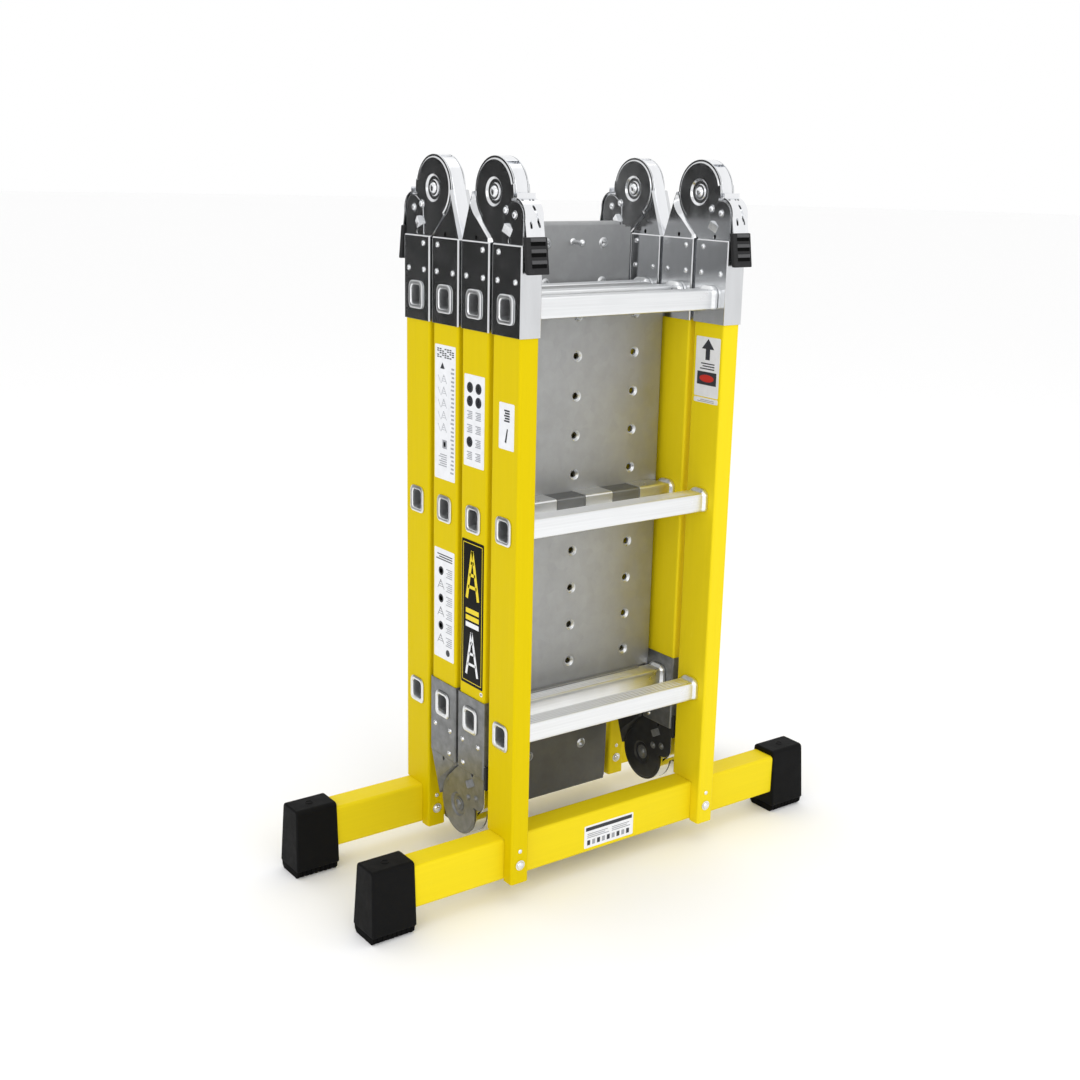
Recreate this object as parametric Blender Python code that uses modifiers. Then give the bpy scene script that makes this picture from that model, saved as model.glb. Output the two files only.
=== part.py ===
"""Multi position folding ladder with two stabiliser bars and two stowed platform plates.

Metres, +Z up. X runs across the ladder, the front faces -Y, and the floor is at Z = 0.
Four sections stand folded side by side along Y: front, mid_front, mid_rear and rear.
Three pairs of hinges join them: front and rear pairs at the top, the middle pair at the bottom.
"""

import math

import bmesh
import bpy
from mathutils import Matrix, Vector

# Driving dimensions
LADDER_WIDTH = 0.362
RAIL_WIDTH = 0.028
RAIL_DEPTH = 0.060
RAIL_WALL = 0.003
SECTION_PITCH = 0.070
RUNG_PITCH = 0.280
FIRST_RUNG_Z = 0.236
GAP = 0.0003

# Rungs: (width along Y, height along Z)
RUNG_SIZE = (0.028, 0.027)
RUNG_NECK = (0.024, 0.026)
RUNG_BORE = (0.020, 0.022)
RUNG_COLLAR = (0.034, 0.032)
RUNG_END_ON_RAIL = (0.030, 0.035)
RUNG_END_ON_SLEEVE = (0.034, 0.037)
RUNG_CORNER = 0.0045
RUNG_BORE_CORNER = 0.002
COLLAR_LENGTH = 0.005
COLLAR_SLOPE = 0.001
END_LENGTH = 0.0022
END_TAPER = 0.002

# Hinges, in their own plane: u points to the lever's side, w points away from the sleeves
SHEET = 0.0015
SLEEVE_SHORT = 0.033
SLEEVE_LONG = 0.077
SLEEVE_CORNER = 0.0042
RAIL_INSIDE_SLEEVE = 0.030
BLOCK_GAP = 0.0005
BLOCK_RECESS = 0.004
PIVOT_FROM_RUNG = 0.139
DISC_RADIUS = 0.0425
PLATE_THICKNESS = 0.003
INNER_HALF_THICKNESS = 0.0089
PLATE_INSET = 0.0008
PLATE_TONGUE = 0.028
CHEEK_CLEARANCE = 0.0015
KNUCKLE = (0.047, -0.028)
KNUCKLE_RADIUS = 0.019
PIN_RADIUS = 0.005
PIN_HEAD_RADIUS = 0.0078
PIN_HEAD_HEIGHT = 0.003
PIN_SIDES = 10
LEVER_PIN_RADIUS = 0.003
LEVER_PIN_HALF_LENGTH = 0.0132
LEVER_WRAP_ABOVE = 0.006
LEVER_WRAP_ANGLE = 78
LEVER_HALF_WIDTH = 0.0135
LUG_HALF_WIDTH = 0.006
LUG_RADIUS = 0.008
CUT_HALF_LENGTH = 0.020
ARC_STEP = math.radians(18)

# Lever shape by hinge position: sheet thickness, clearance to the knuckle, end point (u, w)
TOP_LEVER = (0.002, 0.0015, (0.0760, -0.0755))
BOTTOM_LEVER = (0.0012, 0.0013, (0.0679, -0.0820))

# Grips, in the hinge's plane: heights, and for the top ones the slanted back and front as u values
TOP_GRIP_HALF_WIDTH = 0.015
TOP_GRIP_ENDS = (-0.050, -0.0945)
TOP_GRIP_BACK = (0.0672, 0.0778)
TOP_GRIP_FRONT = (0.0748, 0.0812)
GRIP_RIB_HEIGHT = 0.0008
BOTTOM_GRIP_HALF_WIDTH = 0.0148
BOTTOM_GRIP_ENDS = (-0.048, -0.081)
BOTTOM_GRIP_FACE = 0.0726

# Stabiliser bars and boots
BAR_DEPTH = 0.040
BAR_HEIGHT = 0.060
BAR_BOTTOM = 0.032
BAR_HALF_LENGTH = 0.380
BAR_FROM_RAIL_CENTRE = 0.008
RAIL_TAB_BOTTOM = 0.031
BOOT_INNER_X = 0.320
BOOT_OUTER_X = 0.386
BOOT_HEIGHT = 0.100
BOOT_HALF_TOP = 0.024
BOOT_HALF_BOTTOM = 0.026
BOOT_SOLE_HALF_FLAT = 0.008
BOOT_SOLE_RISE = 0.012
BOOT_EDGE = 0.002

# Platform plates
PLATE_HALF_WIDTH = 0.1445
PLATE_SHEET = 0.002
PLATE_FLANGE = 0.014
LONG_PLATE_BOTTOM = 0.028
LONG_PLATE_LENGTH = 0.860
LONG_PLATE_BOTTOM_Y = 0.0745
LONG_PLATE_TOP_Y = 0.0560
LONG_PLATE_NOTCH = (0.014, 0.008)
SHORT_PLATE_Y = -0.0200
SHORT_PLATE_TOP = 0.811
FLANGE_END_GAP = 0.010
HOOK_TAB_WIDTH = 0.048
HOOK_TAB_HEIGHT = 0.018
HOOK_TAB_GAP = 0.001
FIRST_HOOK_TAB_X = -0.104
HOOK_STRIP_BEFORE = 0.034
FOOT_LIP_HALF_WIDTH = 0.120
FOOT_LIP_DEPTH = 0.008

RAIL_X = LADDER_WIDTH / 2 - RAIL_WIDTH / 2
SLEEVE_HALF_WIDTH = RAIL_WIDTH / 2 + GAP + SHEET
SLEEVE_HALF_DEPTH = RAIL_DEPTH / 2 + GAP + SHEET
OUTER_FACE = INNER_HALF_THICKNESS + GAP + PLATE_THICKNESS
RUNG_HEIGHTS = [FIRST_RUNG_Z + step * RUNG_PITCH for step in range(3)]
TOP_PIVOT_Z = RUNG_HEIGHTS[-1] + PIVOT_FROM_RUNG
BOTTOM_PIVOT_Z = RUNG_HEIGHTS[0] - PIVOT_FROM_RUNG
SLEEVE_EDGE = SLEEVE_LONG - PIVOT_FROM_RUNG
PLATE_FOOT = SLEEVE_EDGE - PLATE_TONGUE
NEAR_EDGE = SECTION_PITCH / 2 - SLEEVE_HALF_DEPTH + PLATE_INSET
FAR_EDGE = SECTION_PITCH / 2 + SLEEVE_HALF_DEPTH - PLATE_INSET
SECTIONS = ("front", "mid_front", "mid_rear", "rear")
SECTION_Y = {name: (place - 1.5) * SECTION_PITCH for place, name in enumerate(SECTIONS)}
SIDES = {"left": -RAIL_X, "right": RAIL_X}

# Each hinge: section of its outer half, section of its inner half, pivot (Y, Z), signs of u and w
HINGES = {
    "front": ("front", "mid_front", (-SECTION_PITCH, TOP_PIVOT_Z), (-1, 1)),
    "middle": ("mid_front", "mid_rear", (0.0, BOTTOM_PIVOT_Z), (-1, -1)),
    "rear": ("rear", "mid_rear", (SECTION_PITCH, TOP_PIVOT_Z), (1, 1)),
}

MATERIALS = {
    "yellow_fibreglass": ((0.80, 0.62, 0.02), 0.45, 0.0),
    "rung_aluminium": ((0.80, 0.81, 0.82), 0.35, 1.0),
    "hinge_steel": ((0.42, 0.43, 0.44), 0.30, 1.0),
    "lever_chrome": ((0.85, 0.86, 0.87), 0.12, 1.0),
    "grip_plastic": ((0.02, 0.02, 0.02), 0.55, 0.0),
    "boot_rubber": ((0.015, 0.015, 0.017), 0.70, 0.0),
    "plate_steel": ((0.32, 0.33, 0.34), 0.42, 1.0),
}


def clear_scene():
    for obj in list(bpy.data.objects):
        bpy.data.objects.remove(obj, do_unlink=True)


def new_collection(name):
    collection = bpy.data.collections.new(name)
    bpy.context.scene.collection.children.link(collection)
    return collection


def make_material(name):
    colour, roughness, metallic = MATERIALS[name]
    material = bpy.data.materials.new(name)
    material.use_nodes = True
    shader = material.node_tree.nodes["Principled BSDF"]
    shader.inputs["Base Color"].default_value = (*colour, 1.0)
    shader.inputs["Roughness"].default_value = roughness
    shader.inputs["Metallic"].default_value = metallic
    return material


def arc(centre, radius, start, end):
    """Points on an arc, from the start angle to the end angle in degrees, both ends included."""
    first, last = math.radians(start), math.radians(end)
    count = max(2, math.ceil(abs(last - first) / ARC_STEP) + 1)
    angles = [first + (last - first) * step / (count - 1) for step in range(count)]
    return [(centre[0] + radius * math.cos(a), centre[1] + radius * math.sin(a)) for a in angles]


def rounded_rectangle(width, height, corner):
    """A closed outline about the origin, with each corner cut to an arc of two chords."""
    points = []
    for turn, (sx, sy) in enumerate(((1, 1), (-1, 1), (-1, -1), (1, -1))):
        centre = (sx * (width / 2 - corner), sy * (height / 2 - corner))
        for step in range(3):
            angle = math.radians(90 * turn + 45 * step)
            points.append((centre[0] + corner * math.cos(angle), centre[1] + corner * math.sin(angle)))
    return points


def tangent_angle(point, radius, side):
    """Polar angle, in degrees, where a line from the point touches a circle about the origin."""
    reach = math.hypot(*point)
    return math.degrees(math.atan2(point[1], point[0])) + side * math.degrees(math.acos(radius / reach))


def polar(radius, degrees):
    return (radius * math.cos(math.radians(degrees)), radius * math.sin(math.radians(degrees)))


def finish_mesh(mesh):
    shape = bmesh.new()
    shape.from_mesh(mesh)
    bmesh.ops.remove_doubles(shape, verts=shape.verts, dist=1e-6)
    bmesh.ops.recalc_face_normals(shape, faces=shape.faces)
    shape.to_mesh(mesh)
    shape.free()


def extruded(outlines, half_length, matrix):
    """Mesh object from a flat filled curve; a second outline inside the first one is a hole."""
    curve = bpy.data.curves.new("outline", "CURVE")
    curve.dimensions = "2D"
    curve.fill_mode = "BOTH"
    curve.extrude = half_length
    for outline in outlines:
        spline = curve.splines.new("POLY")
        spline.points.add(len(outline) - 1)
        for point, (x, y) in zip(spline.points, outline):
            point.co = (x, y, 0, 1)
        spline.use_cyclic_u = True
    flat = bpy.data.objects.new("outline", curve)
    bpy.context.scene.collection.objects.link(flat)
    graph = bpy.context.evaluated_depsgraph_get()
    mesh = bpy.data.meshes.new_from_object(flat.evaluated_get(graph))
    bpy.data.objects.remove(flat, do_unlink=True)
    mesh.transform(matrix)
    finish_mesh(mesh)
    solid = bpy.data.objects.new("solid", mesh)
    bpy.context.scene.collection.objects.link(solid)
    return solid


def along_x(low, high):
    """Turns a flat outline given as (Y, Z) into a prism between two X values."""
    turn = Matrix(((0, 0, 1, (low + high) / 2), (1, 0, 0, 0), (0, 1, 0, 0), (0, 0, 0, 1)))
    return (high - low) / 2, turn


def prism_x(outlines, low, high):
    half, turn = along_x(low, high)
    return extruded(outlines, half, turn)


def prism_z(outlines, low, high):
    return extruded(outlines, (high - low) / 2, Matrix.Translation((0, 0, (low + high) / 2)))


def box(low, high):
    """Box mesh object between two corners."""
    shape = bmesh.new()
    bmesh.ops.create_cube(shape, size=1.0)
    for vertex in shape.verts:
        vertex.co = Vector([(a + b) / 2 + (b - a) * c for a, b, c in zip(low, high, vertex.co)])
    mesh = bpy.data.meshes.new("box")
    shape.to_mesh(mesh)
    shape.free()
    solid = bpy.data.objects.new("box", mesh)
    bpy.context.scene.collection.objects.link(solid)
    return solid


def turned_x(profile, segments):
    """Turned solid about the X axis; the profile is (radius, X) from low X to high X."""
    mesh = bpy.data.meshes.new("turned")
    mesh.from_pydata([(radius, 0, x) for radius, x in reversed(profile)], [], [])
    mesh.edges.add(len(profile) - 1)
    for place, edge in enumerate(mesh.edges):
        edge.vertices = (place, place + 1)
    spun = bpy.data.objects.new("turned", mesh)
    bpy.context.scene.collection.objects.link(spun)
    screw = spun.modifiers.new("spin", "SCREW")
    screw.steps = segments
    screw.render_steps = segments
    screw.use_merge_vertices = True
    screw.merge_threshold = 0.00001
    return baked(spun, Matrix(((0, 0, 1, 0), (1, 0, 0, 0), (0, 1, 0, 0), (0, 0, 0, 1))))


def baked(obj, matrix=None):
    """Object with its modifiers evaluated into a new mesh, in place of the old object."""
    graph = bpy.context.evaluated_depsgraph_get()
    mesh = bpy.data.meshes.new_from_object(obj.evaluated_get(graph))
    bpy.data.objects.remove(obj, do_unlink=True)
    if matrix is not None:
        mesh.transform(matrix)
    finish_mesh(mesh)
    solid = bpy.data.objects.new("solid", mesh)
    bpy.context.scene.collection.objects.link(solid)
    return solid


def combined(base, others, operation):
    """Base solid with the others joined to it or cut from it, one after another."""
    for other in others:
        change = base.modifiers.new(operation.lower(), "BOOLEAN")
        change.operation = operation
        change.object = other
        change.solver = "EXACT"
        base = baked(base)
        bpy.data.objects.remove(other, do_unlink=True)
    return base


def moved(obj, offset):
    obj.data.transform(Matrix.Translation(offset))
    return obj


def rung_end_faces(on_sleeve):
    """X of the collar's inner end, of the wall's two faces and of the end ring's outer face."""
    inner = RAIL_X - (SLEEVE_HALF_WIDTH if on_sleeve else RAIL_WIDTH / 2)
    outer = RAIL_X + (SLEEVE_HALF_WIDTH if on_sleeve else RAIL_WIDTH / 2)
    return inner - GAP - COLLAR_LENGTH, inner - GAP, outer + GAP, outer + GAP + END_LENGTH


def eight_sided(size, corner):
    """Section of a rung: a rectangle with cut corners, as (Y, Z) points."""
    y, z = size[0] / 2, size[1] / 2
    half = [(y, z - corner), (y - corner, z), (corner - y, z), (-y, z - corner)]
    return half + [(-a, -b) for a, b in half]


def make_rung(on_sleeve):
    """Hollow rung lofted through its swaged sections, from the left end to the right end."""
    collar, wall, ring, end = rung_end_faces(on_sleeve)
    end_size = RUNG_END_ON_SLEEVE if on_sleeve else RUNG_END_ON_RAIL
    half = [
        (collar, RUNG_SIZE),
        (collar + COLLAR_SLOPE, RUNG_COLLAR),
        (wall, RUNG_COLLAR),
        (wall + GAP, RUNG_NECK),
        (ring - GAP, RUNG_NECK),
        (ring, end_size),
        (end, (end_size[0] - END_TAPER, end_size[1] - END_TAPER)),
        (end, RUNG_BORE),
    ]
    stations = [(-x, size) for x, size in reversed(half)] + half
    shape = bmesh.new()
    rings = []
    for x, size in stations:
        corner = RUNG_BORE_CORNER if size == RUNG_BORE else RUNG_CORNER
        rings.append([shape.verts.new((x, y, z)) for y, z in eight_sided(size, corner)])
    for first, second in zip(rings, rings[1:] + rings[:1]):
        for a in range(8):
            b = (a + 1) % 8
            shape.faces.new((first[a], first[b], second[b], second[a]))
    bmesh.ops.recalc_face_normals(shape, faces=shape.faces)
    mesh = bpy.data.meshes.new("rung")
    shape.to_mesh(mesh)
    shape.free()
    solid = bpy.data.objects.new("rung", mesh)
    bpy.context.scene.collection.objects.link(solid)
    return solid


def rung_hole_cutter(y, z):
    """Prism across the whole ladder, a little larger than a rung's neck."""
    size = [side + 2 * GAP for side in RUNG_NECK]
    outline = [(y + a, z + b) for a, b in eight_sided(size, RUNG_CORNER)]
    return prism_x([outline], -LADDER_WIDTH, LADDER_WIDTH)


def rail_span(section):
    """Lowest and highest Z of a section's rails."""
    folds_at_bottom = section in ("mid_front", "mid_rear")
    low = RUNG_HEIGHTS[0] - RAIL_INSIDE_SLEEVE if folds_at_bottom else RAIL_TAB_BOTTOM
    return low, RUNG_HEIGHTS[-1] + RAIL_INSIDE_SLEEVE


def make_rail(section):
    """Hollow rail about X = 0 at its own Y; the outer sections' rails keep only a front tab at the bar."""
    y = SECTION_Y[section]
    low, high = rail_span(section)
    outer = rounded_rectangle(RAIL_WIDTH, RAIL_DEPTH, RAIL_WALL)
    inner = rounded_rectangle(RAIL_WIDTH - 2 * RAIL_WALL, RAIL_DEPTH - 2 * RAIL_WALL, 0.001)[1::3]
    rail = moved(prism_z([outer, inner], low, high), (0, y, 0))
    cutters = [rung_hole_cutter(y, z) for z in RUNG_HEIGHTS]
    if low == RAIL_TAB_BOTTOM:
        bar_front = y + BAR_FROM_RAIL_CENTRE - BAR_DEPTH / 2
        top = BAR_BOTTOM + BAR_HEIGHT + 2 * GAP
        cutters.append(box((-RAIL_WIDTH, bar_front - GAP, 0), (RAIL_WIDTH, y + RAIL_DEPTH, top)))
    return combined(rail, cutters, "DIFFERENCE")


def in_hinge_plane(outline, signs):
    return [(signs[0] * u, signs[1] * w) for u, w in outline]


def outer_plate_outline():
    """Disc, knuckle and neck of an outer plate, as (u, w) points."""
    reach = math.hypot(*KNUCKLE)
    along = (DISC_RADIUS**2 - KNUCKLE_RADIUS**2 + reach**2) / (2 * reach)
    across = math.sqrt(DISC_RADIUS**2 - along**2)
    unit = (KNUCKLE[0] / reach, KNUCKLE[1] / reach)
    meet = (along * unit[0] - across * unit[1], along * unit[1] + across * unit[0])
    knuckle_end = math.degrees(math.atan2(meet[1] - KNUCKLE[1], meet[0] - KNUCKLE[0]))
    disc_start = math.degrees(math.atan2(meet[1], meet[0]))
    disc_end = tangent_angle((NEAR_EDGE, SLEEVE_EDGE), DISC_RADIUS, -1) + 360
    return (
        [(NEAR_EDGE, PLATE_FOOT), (FAR_EDGE, PLATE_FOOT)]
        + arc(KNUCKLE, KNUCKLE_RADIUS, 0, knuckle_end)[:-1]
        + arc((0, 0), DISC_RADIUS, disc_start, disc_end)
        + [(NEAR_EDGE, SLEEVE_EDGE)]
    )


def inner_plate_outline():
    """Disc and neck of the inner plate, whose sleeve is on the other side from the lever."""
    far = (-FAR_EDGE, SLEEVE_EDGE)
    disc_end = tangent_angle(far, DISC_RADIUS, -1) + 360
    disc_start = -math.degrees(math.acos(-NEAR_EDGE / DISC_RADIUS))
    neck = [far, (-FAR_EDGE, PLATE_FOOT), (-NEAR_EDGE, PLATE_FOOT)]
    return arc((0, 0), DISC_RADIUS, disc_start, disc_end) + neck


def cheek_outline():
    """Thick neck beside the inner plate, stepped around the outer plate with a running gap."""
    radius = DISC_RADIUS + CHEEK_CLEARANCE
    far = (-FAR_EDGE, SLEEVE_EDGE)
    step_start = tangent_angle((NEAR_EDGE, SLEEVE_EDGE), DISC_RADIUS, -1) + 360
    touch = tangent_angle(far, DISC_RADIUS, -1) + 360
    step_end = touch + math.degrees(math.acos(DISC_RADIUS / radius))
    corner = polar(radius, step_start)
    slope = math.radians(step_start)
    rise = (-NEAR_EDGE - corner[0]) / -math.sin(slope)
    near_top = (-NEAR_EDGE, corner[1] + rise * math.cos(slope))
    neck = [far, (-FAR_EDGE, PLATE_FOOT), (-NEAR_EDGE, PLATE_FOOT), near_top]
    return arc((0, 0), radius, step_start, step_end) + neck


def make_sleeve(centre_u, signs):
    """Sheet sleeve around a rail's end, about the hinge's pivot."""
    half_width, half_depth = SLEEVE_HALF_WIDTH - SHEET, SLEEVE_HALF_DEPTH - SHEET
    outer = rounded_rectangle(2 * SLEEVE_HALF_WIDTH, 2 * SLEEVE_HALF_DEPTH, SLEEVE_CORNER)
    inner = rounded_rectangle(2 * half_width, 2 * half_depth, SLEEVE_CORNER - SHEET)
    ends = sorted((signs[1] * (-PIVOT_FROM_RUNG - SLEEVE_SHORT), signs[1] * SLEEVE_EDGE))
    return moved(prism_z([outer, inner], *ends), (0, signs[0] * centre_u, 0))


def make_end_block(centre_u, signs):
    """Solid block that closes the sleeve beyond the rail's end and holds the plates."""
    half_width = SLEEVE_HALF_WIDTH - SHEET / 2
    half_depth = SLEEVE_HALF_DEPTH - SHEET / 2
    rail_end = RAIL_INSIDE_SLEEVE + BLOCK_GAP - PIVOT_FROM_RUNG
    y = signs[0] * centre_u
    low, high = sorted((signs[1] * rail_end, signs[1] * (SLEEVE_EDGE - BLOCK_RECESS)))
    return box((-half_width, y - half_depth, low), (half_width, y + half_depth, high))


def make_outer_half(signs):
    """Outer hinge half: two plates with a knuckle, the lever's pin, the end block and the sleeve."""
    outline = in_hinge_plane(outer_plate_outline(), signs)
    inside = OUTER_FACE - PLATE_THICKNESS
    plates = [prism_x([outline], inside, OUTER_FACE), prism_x([outline], -OUTER_FACE, -inside)]
    pin = moved(rod_x(LEVER_PIN_RADIUS, LEVER_PIN_HALF_LENGTH), knuckle_place(signs))
    sleeve = make_sleeve(SECTION_PITCH / 2, signs)
    half = combined(sleeve, [make_end_block(SECTION_PITCH / 2, signs), *plates, pin], "UNION")
    return combined(half, [hinge_rung_hole(SECTION_PITCH / 2, signs), pivot_hole()], "DIFFERENCE")


def make_inner_half(signs):
    """Inner hinge half: one thick plate with a stepped neck, the end block and the sleeve."""
    half_thickness = INNER_HALF_THICKNESS
    plate = prism_x([in_hinge_plane(inner_plate_outline(), signs)], -half_thickness, half_thickness)
    neck = prism_x([in_hinge_plane(cheek_outline(), signs)], -OUTER_FACE, OUTER_FACE)
    sleeve = make_sleeve(-SECTION_PITCH / 2, signs)
    half = combined(sleeve, [make_end_block(-SECTION_PITCH / 2, signs), neck, plate], "UNION")
    return combined(half, [hinge_rung_hole(-SECTION_PITCH / 2, signs), pivot_hole()], "DIFFERENCE")


def rod_x(radius, half_length):
    profile = [(0, -half_length), (radius, -half_length), (radius, half_length), (0, half_length)]
    return turned_x(profile, PIN_SIDES)


def knuckle_place(signs):
    return (0, signs[0] * KNUCKLE[0], signs[1] * KNUCKLE[1])


def hinge_rung_hole(centre_u, signs):
    """Cutter for the rung through a sleeve, seen from the hinge's pivot."""
    return rung_hole_cutter(signs[0] * centre_u, -signs[1] * PIVOT_FROM_RUNG)


def pivot_hole():
    return rod_x(PIN_RADIUS + GAP, CUT_HALF_LENGTH)


def make_pivot_pin():
    """Rivet with two domed heads."""
    face = OUTER_FACE + GAP
    half = [
        (PIN_RADIUS, face),
        (PIN_HEAD_RADIUS, face),
        (PIN_HEAD_RADIUS, face + PIN_HEAD_HEIGHT / 3),
        (PIN_RADIUS, face + PIN_HEAD_HEIGHT * 0.87),
        (0, face + PIN_HEAD_HEIGHT),
    ]
    profile = [(radius, -x) for radius, x in reversed(half)] + half
    return turned_x(profile, PIN_SIDES)


def lever_sheet_outline(sheet, clearance, end, margin=0.0):
    """Curved sheet that wraps the knuckle at a clearance and runs straight to its end point."""
    inner = KNUCKLE_RADIUS + clearance - margin
    outer = KNUCKLE_RADIUS + clearance + sheet + margin
    middle = (inner + outer) / 2
    last = (KNUCKLE[0] + middle, KNUCKLE[1])
    tilt = -math.degrees(math.atan2(end[0] - last[0], last[1] - end[1]))
    start = LEVER_WRAP_ANGLE
    across = Vector(polar(outer - middle, tilt))
    tip = Vector(end) + Vector(polar(margin, tilt - 90))
    top = [polar(inner, start), polar(outer, start)]
    rim = [(KNUCKLE[0] + x, KNUCKLE[1] + w + LEVER_WRAP_ABOVE) for x, w in top]
    outside = arc(KNUCKLE, outer, start, tilt)
    inside = arc(KNUCKLE, inner, tilt, start)
    return [*rim, *outside, tuple(tip + across), tuple(tip - across), *inside]


def lug_outline(sheet, clearance):
    """Tongue between the plates, from the lever's pin to the sheet."""
    reach = KNUCKLE_RADIUS + clearance + sheet / 2
    half_angle = math.degrees(math.asin(LUG_RADIUS / reach))
    return arc(KNUCKLE, LUG_RADIUS, 90, 270) + arc(KNUCKLE, reach, -half_angle, half_angle)


def make_lever(shape, signs):
    """Curved lever with its tongue, about the hinge's pivot."""
    sheet, clearance, end = shape
    outline = in_hinge_plane(lever_sheet_outline(sheet, clearance, end), signs)
    channel = prism_x([outline], -LEVER_HALF_WIDTH, LEVER_HALF_WIDTH)
    lug = prism_x([in_hinge_plane(lug_outline(sheet, clearance), signs)], -LUG_HALF_WIDTH, LUG_HALF_WIDTH)
    lever = combined(channel, [lug], "UNION")
    hole = moved(rod_x(LEVER_PIN_RADIUS + GAP, CUT_HALF_LENGTH), knuckle_place(signs))
    return combined(lever, [hole], "DIFFERENCE")


def make_top_grip(signs):
    """Wedge-shaped grip with three ribs, with a pocket for the lever's end."""
    top, bottom = TOP_GRIP_ENDS
    front_top, front_bottom = TOP_GRIP_FRONT
    outline = [(TOP_GRIP_BACK[1], bottom), (TOP_GRIP_BACK[0], top), (front_top, top)]
    for rib in range(3):
        for share, lift in ((0.16, 0), (0.20, GRIP_RIB_HEIGHT), (0.30, GRIP_RIB_HEIGHT), (0.34, 0)):
            t = share + rib * 0.25
            outline.append((front_top + (front_bottom - front_top) * t + lift, top + (bottom - top) * t))
    outline.append((front_bottom + GRIP_RIB_HEIGHT, bottom))
    grip = prism_x([in_hinge_plane(outline, signs)], -TOP_GRIP_HALF_WIDTH, TOP_GRIP_HALF_WIDTH)
    sheet, clearance, end = TOP_LEVER
    pocket_outline = in_hinge_plane(lever_sheet_outline(sheet, clearance, end, GAP), signs)
    pocket = prism_x([pocket_outline], -LEVER_HALF_WIDTH - GAP, LEVER_HALF_WIDTH + GAP)
    return combined(grip, [pocket], "DIFFERENCE")


def make_bottom_grip(signs):
    """Thin pad on the outside of a bottom lever, in the gap between two sections."""
    back = KNUCKLE[0] + KNUCKLE_RADIUS + BOTTOM_LEVER[1] + BOTTOM_LEVER[0] + GAP
    top, bottom = BOTTOM_GRIP_ENDS
    front = BOTTOM_GRIP_FACE
    edge = 0.0005
    outline = [(back, top), (back, bottom), (front - edge, bottom), (front, bottom + 4 * edge)]
    outline += [(front, top - 4 * edge), (front - edge, top)]
    return prism_x([in_hinge_plane(outline, signs)], -BOTTOM_GRIP_HALF_WIDTH, BOTTOM_GRIP_HALF_WIDTH)


def bar_centre(section):
    return SECTION_Y[section] + BAR_FROM_RAIL_CENTRE, BAR_BOTTOM + BAR_HEIGHT / 2


def make_bar(section):
    """Hollow stabiliser bar across the section's feet."""
    y, z = bar_centre(section)
    outer = [(y + a, z + b) for a, b in rounded_rectangle(BAR_DEPTH, BAR_HEIGHT, 0.004)]
    hollow = rounded_rectangle(BAR_DEPTH - 2 * RAIL_WALL, BAR_HEIGHT - 2 * RAIL_WALL, 0.001)
    inner = [(y + a, z + b) for a, b in hollow[1::3]]
    return prism_x([outer, inner], -BAR_HALF_LENGTH, BAR_HALF_LENGTH)


def boot_outline():
    """Boot seen along the bar, from its own middle: flat top, flared sides, rounded sole."""
    half = [(BOOT_HALF_TOP - BOOT_EDGE, BOOT_HEIGHT), (BOOT_HALF_TOP, BOOT_HEIGHT - BOOT_EDGE)]
    for step in range(5):
        angle = math.radians(90 - 22.5 * step)
        width = (BOOT_HALF_BOTTOM - BOOT_SOLE_HALF_FLAT) * math.sin(angle)
        half.append((BOOT_SOLE_HALF_FLAT + width, BOOT_SOLE_RISE * (1 - math.cos(angle))))
    return half + [(-y, z) for y, z in reversed(half)]


def make_boot(section, sign):
    """Rubber boot with a socket for the bar's end."""
    y, z = bar_centre(section)
    ends = sorted((sign * BOOT_INNER_X, sign * BOOT_OUTER_X))
    boot = prism_x([[(y + a, b) for a, b in boot_outline()]], *ends)
    mouth = BOOT_INNER_X - CUT_HALF_LENGTH
    socket_ends = sorted((sign * mouth, sign * (BAR_HALF_LENGTH + 2 * GAP)))
    outline = rounded_rectangle(BAR_DEPTH + 2 * GAP, BAR_HEIGHT + 2 * GAP, 0.004)
    socket = prism_x([[(y + a, z + b) for a, b in outline]], *socket_ends)
    return combined(boot, [socket], "DIFFERENCE")


def make_tray(length):
    """Sheet tray with its face at Y = 0 towards -Y, its flanges behind it, and its foot at Z = 0."""
    web = box((-PLATE_HALF_WIDTH, 0, 0), (PLATE_HALF_WIDTH, PLATE_SHEET, length))
    edge = PLATE_HALF_WIDTH - PLATE_SHEET
    cut = FLANGE_END_GAP
    start = PLATE_SHEET / 2
    flanges = [
        box((-PLATE_HALF_WIDTH, start, cut), (-edge, PLATE_FLANGE, length - cut)),
        box((edge, start, cut), (PLATE_HALF_WIDTH, PLATE_FLANGE, length - cut)),
        box((2 * cut - edge, start, length - PLATE_SHEET), (edge - 2 * cut, PLATE_FLANGE, length)),
        box((2 * cut - edge, start, 0), (edge - 2 * cut, PLATE_FLANGE, PLATE_SHEET)),
    ]
    return combined(web, flanges, "UNION")


def make_long_plate():
    """Long plate between the two rear sections, leaning back a little towards its foot."""
    lean = math.atan2(LONG_PLATE_BOTTOM_Y - LONG_PLATE_TOP_Y, LONG_PLATE_LENGTH)
    inner_x, low = PLATE_HALF_WIDTH - LONG_PLATE_NOTCH[0], LONG_PLATE_LENGTH - LONG_PLATE_NOTCH[1]
    notches = []
    for sign in (-1, 1):
        ends = sorted((sign * inner_x, sign * LADDER_WIDTH))
        notches.append(box((ends[0], -PLATE_FLANGE, low), (ends[1], 2 * PLATE_FLANGE, LADDER_WIDTH * 3)))
    plate = combined(make_tray(LONG_PLATE_LENGTH), notches, "DIFFERENCE")
    plate.data.transform(Matrix.Rotation(lean, 4, "X"))
    return moved(plate, (0, LONG_PLATE_BOTTOM_Y, LONG_PLATE_BOTTOM))


def hook_tab_starts():
    """Lowest X of each hook tab: one tab and one space of equal width in turn."""
    return [FIRST_HOOK_TAB_X + 2 * HOOK_TAB_WIDTH * place for place in range(3)]


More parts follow.
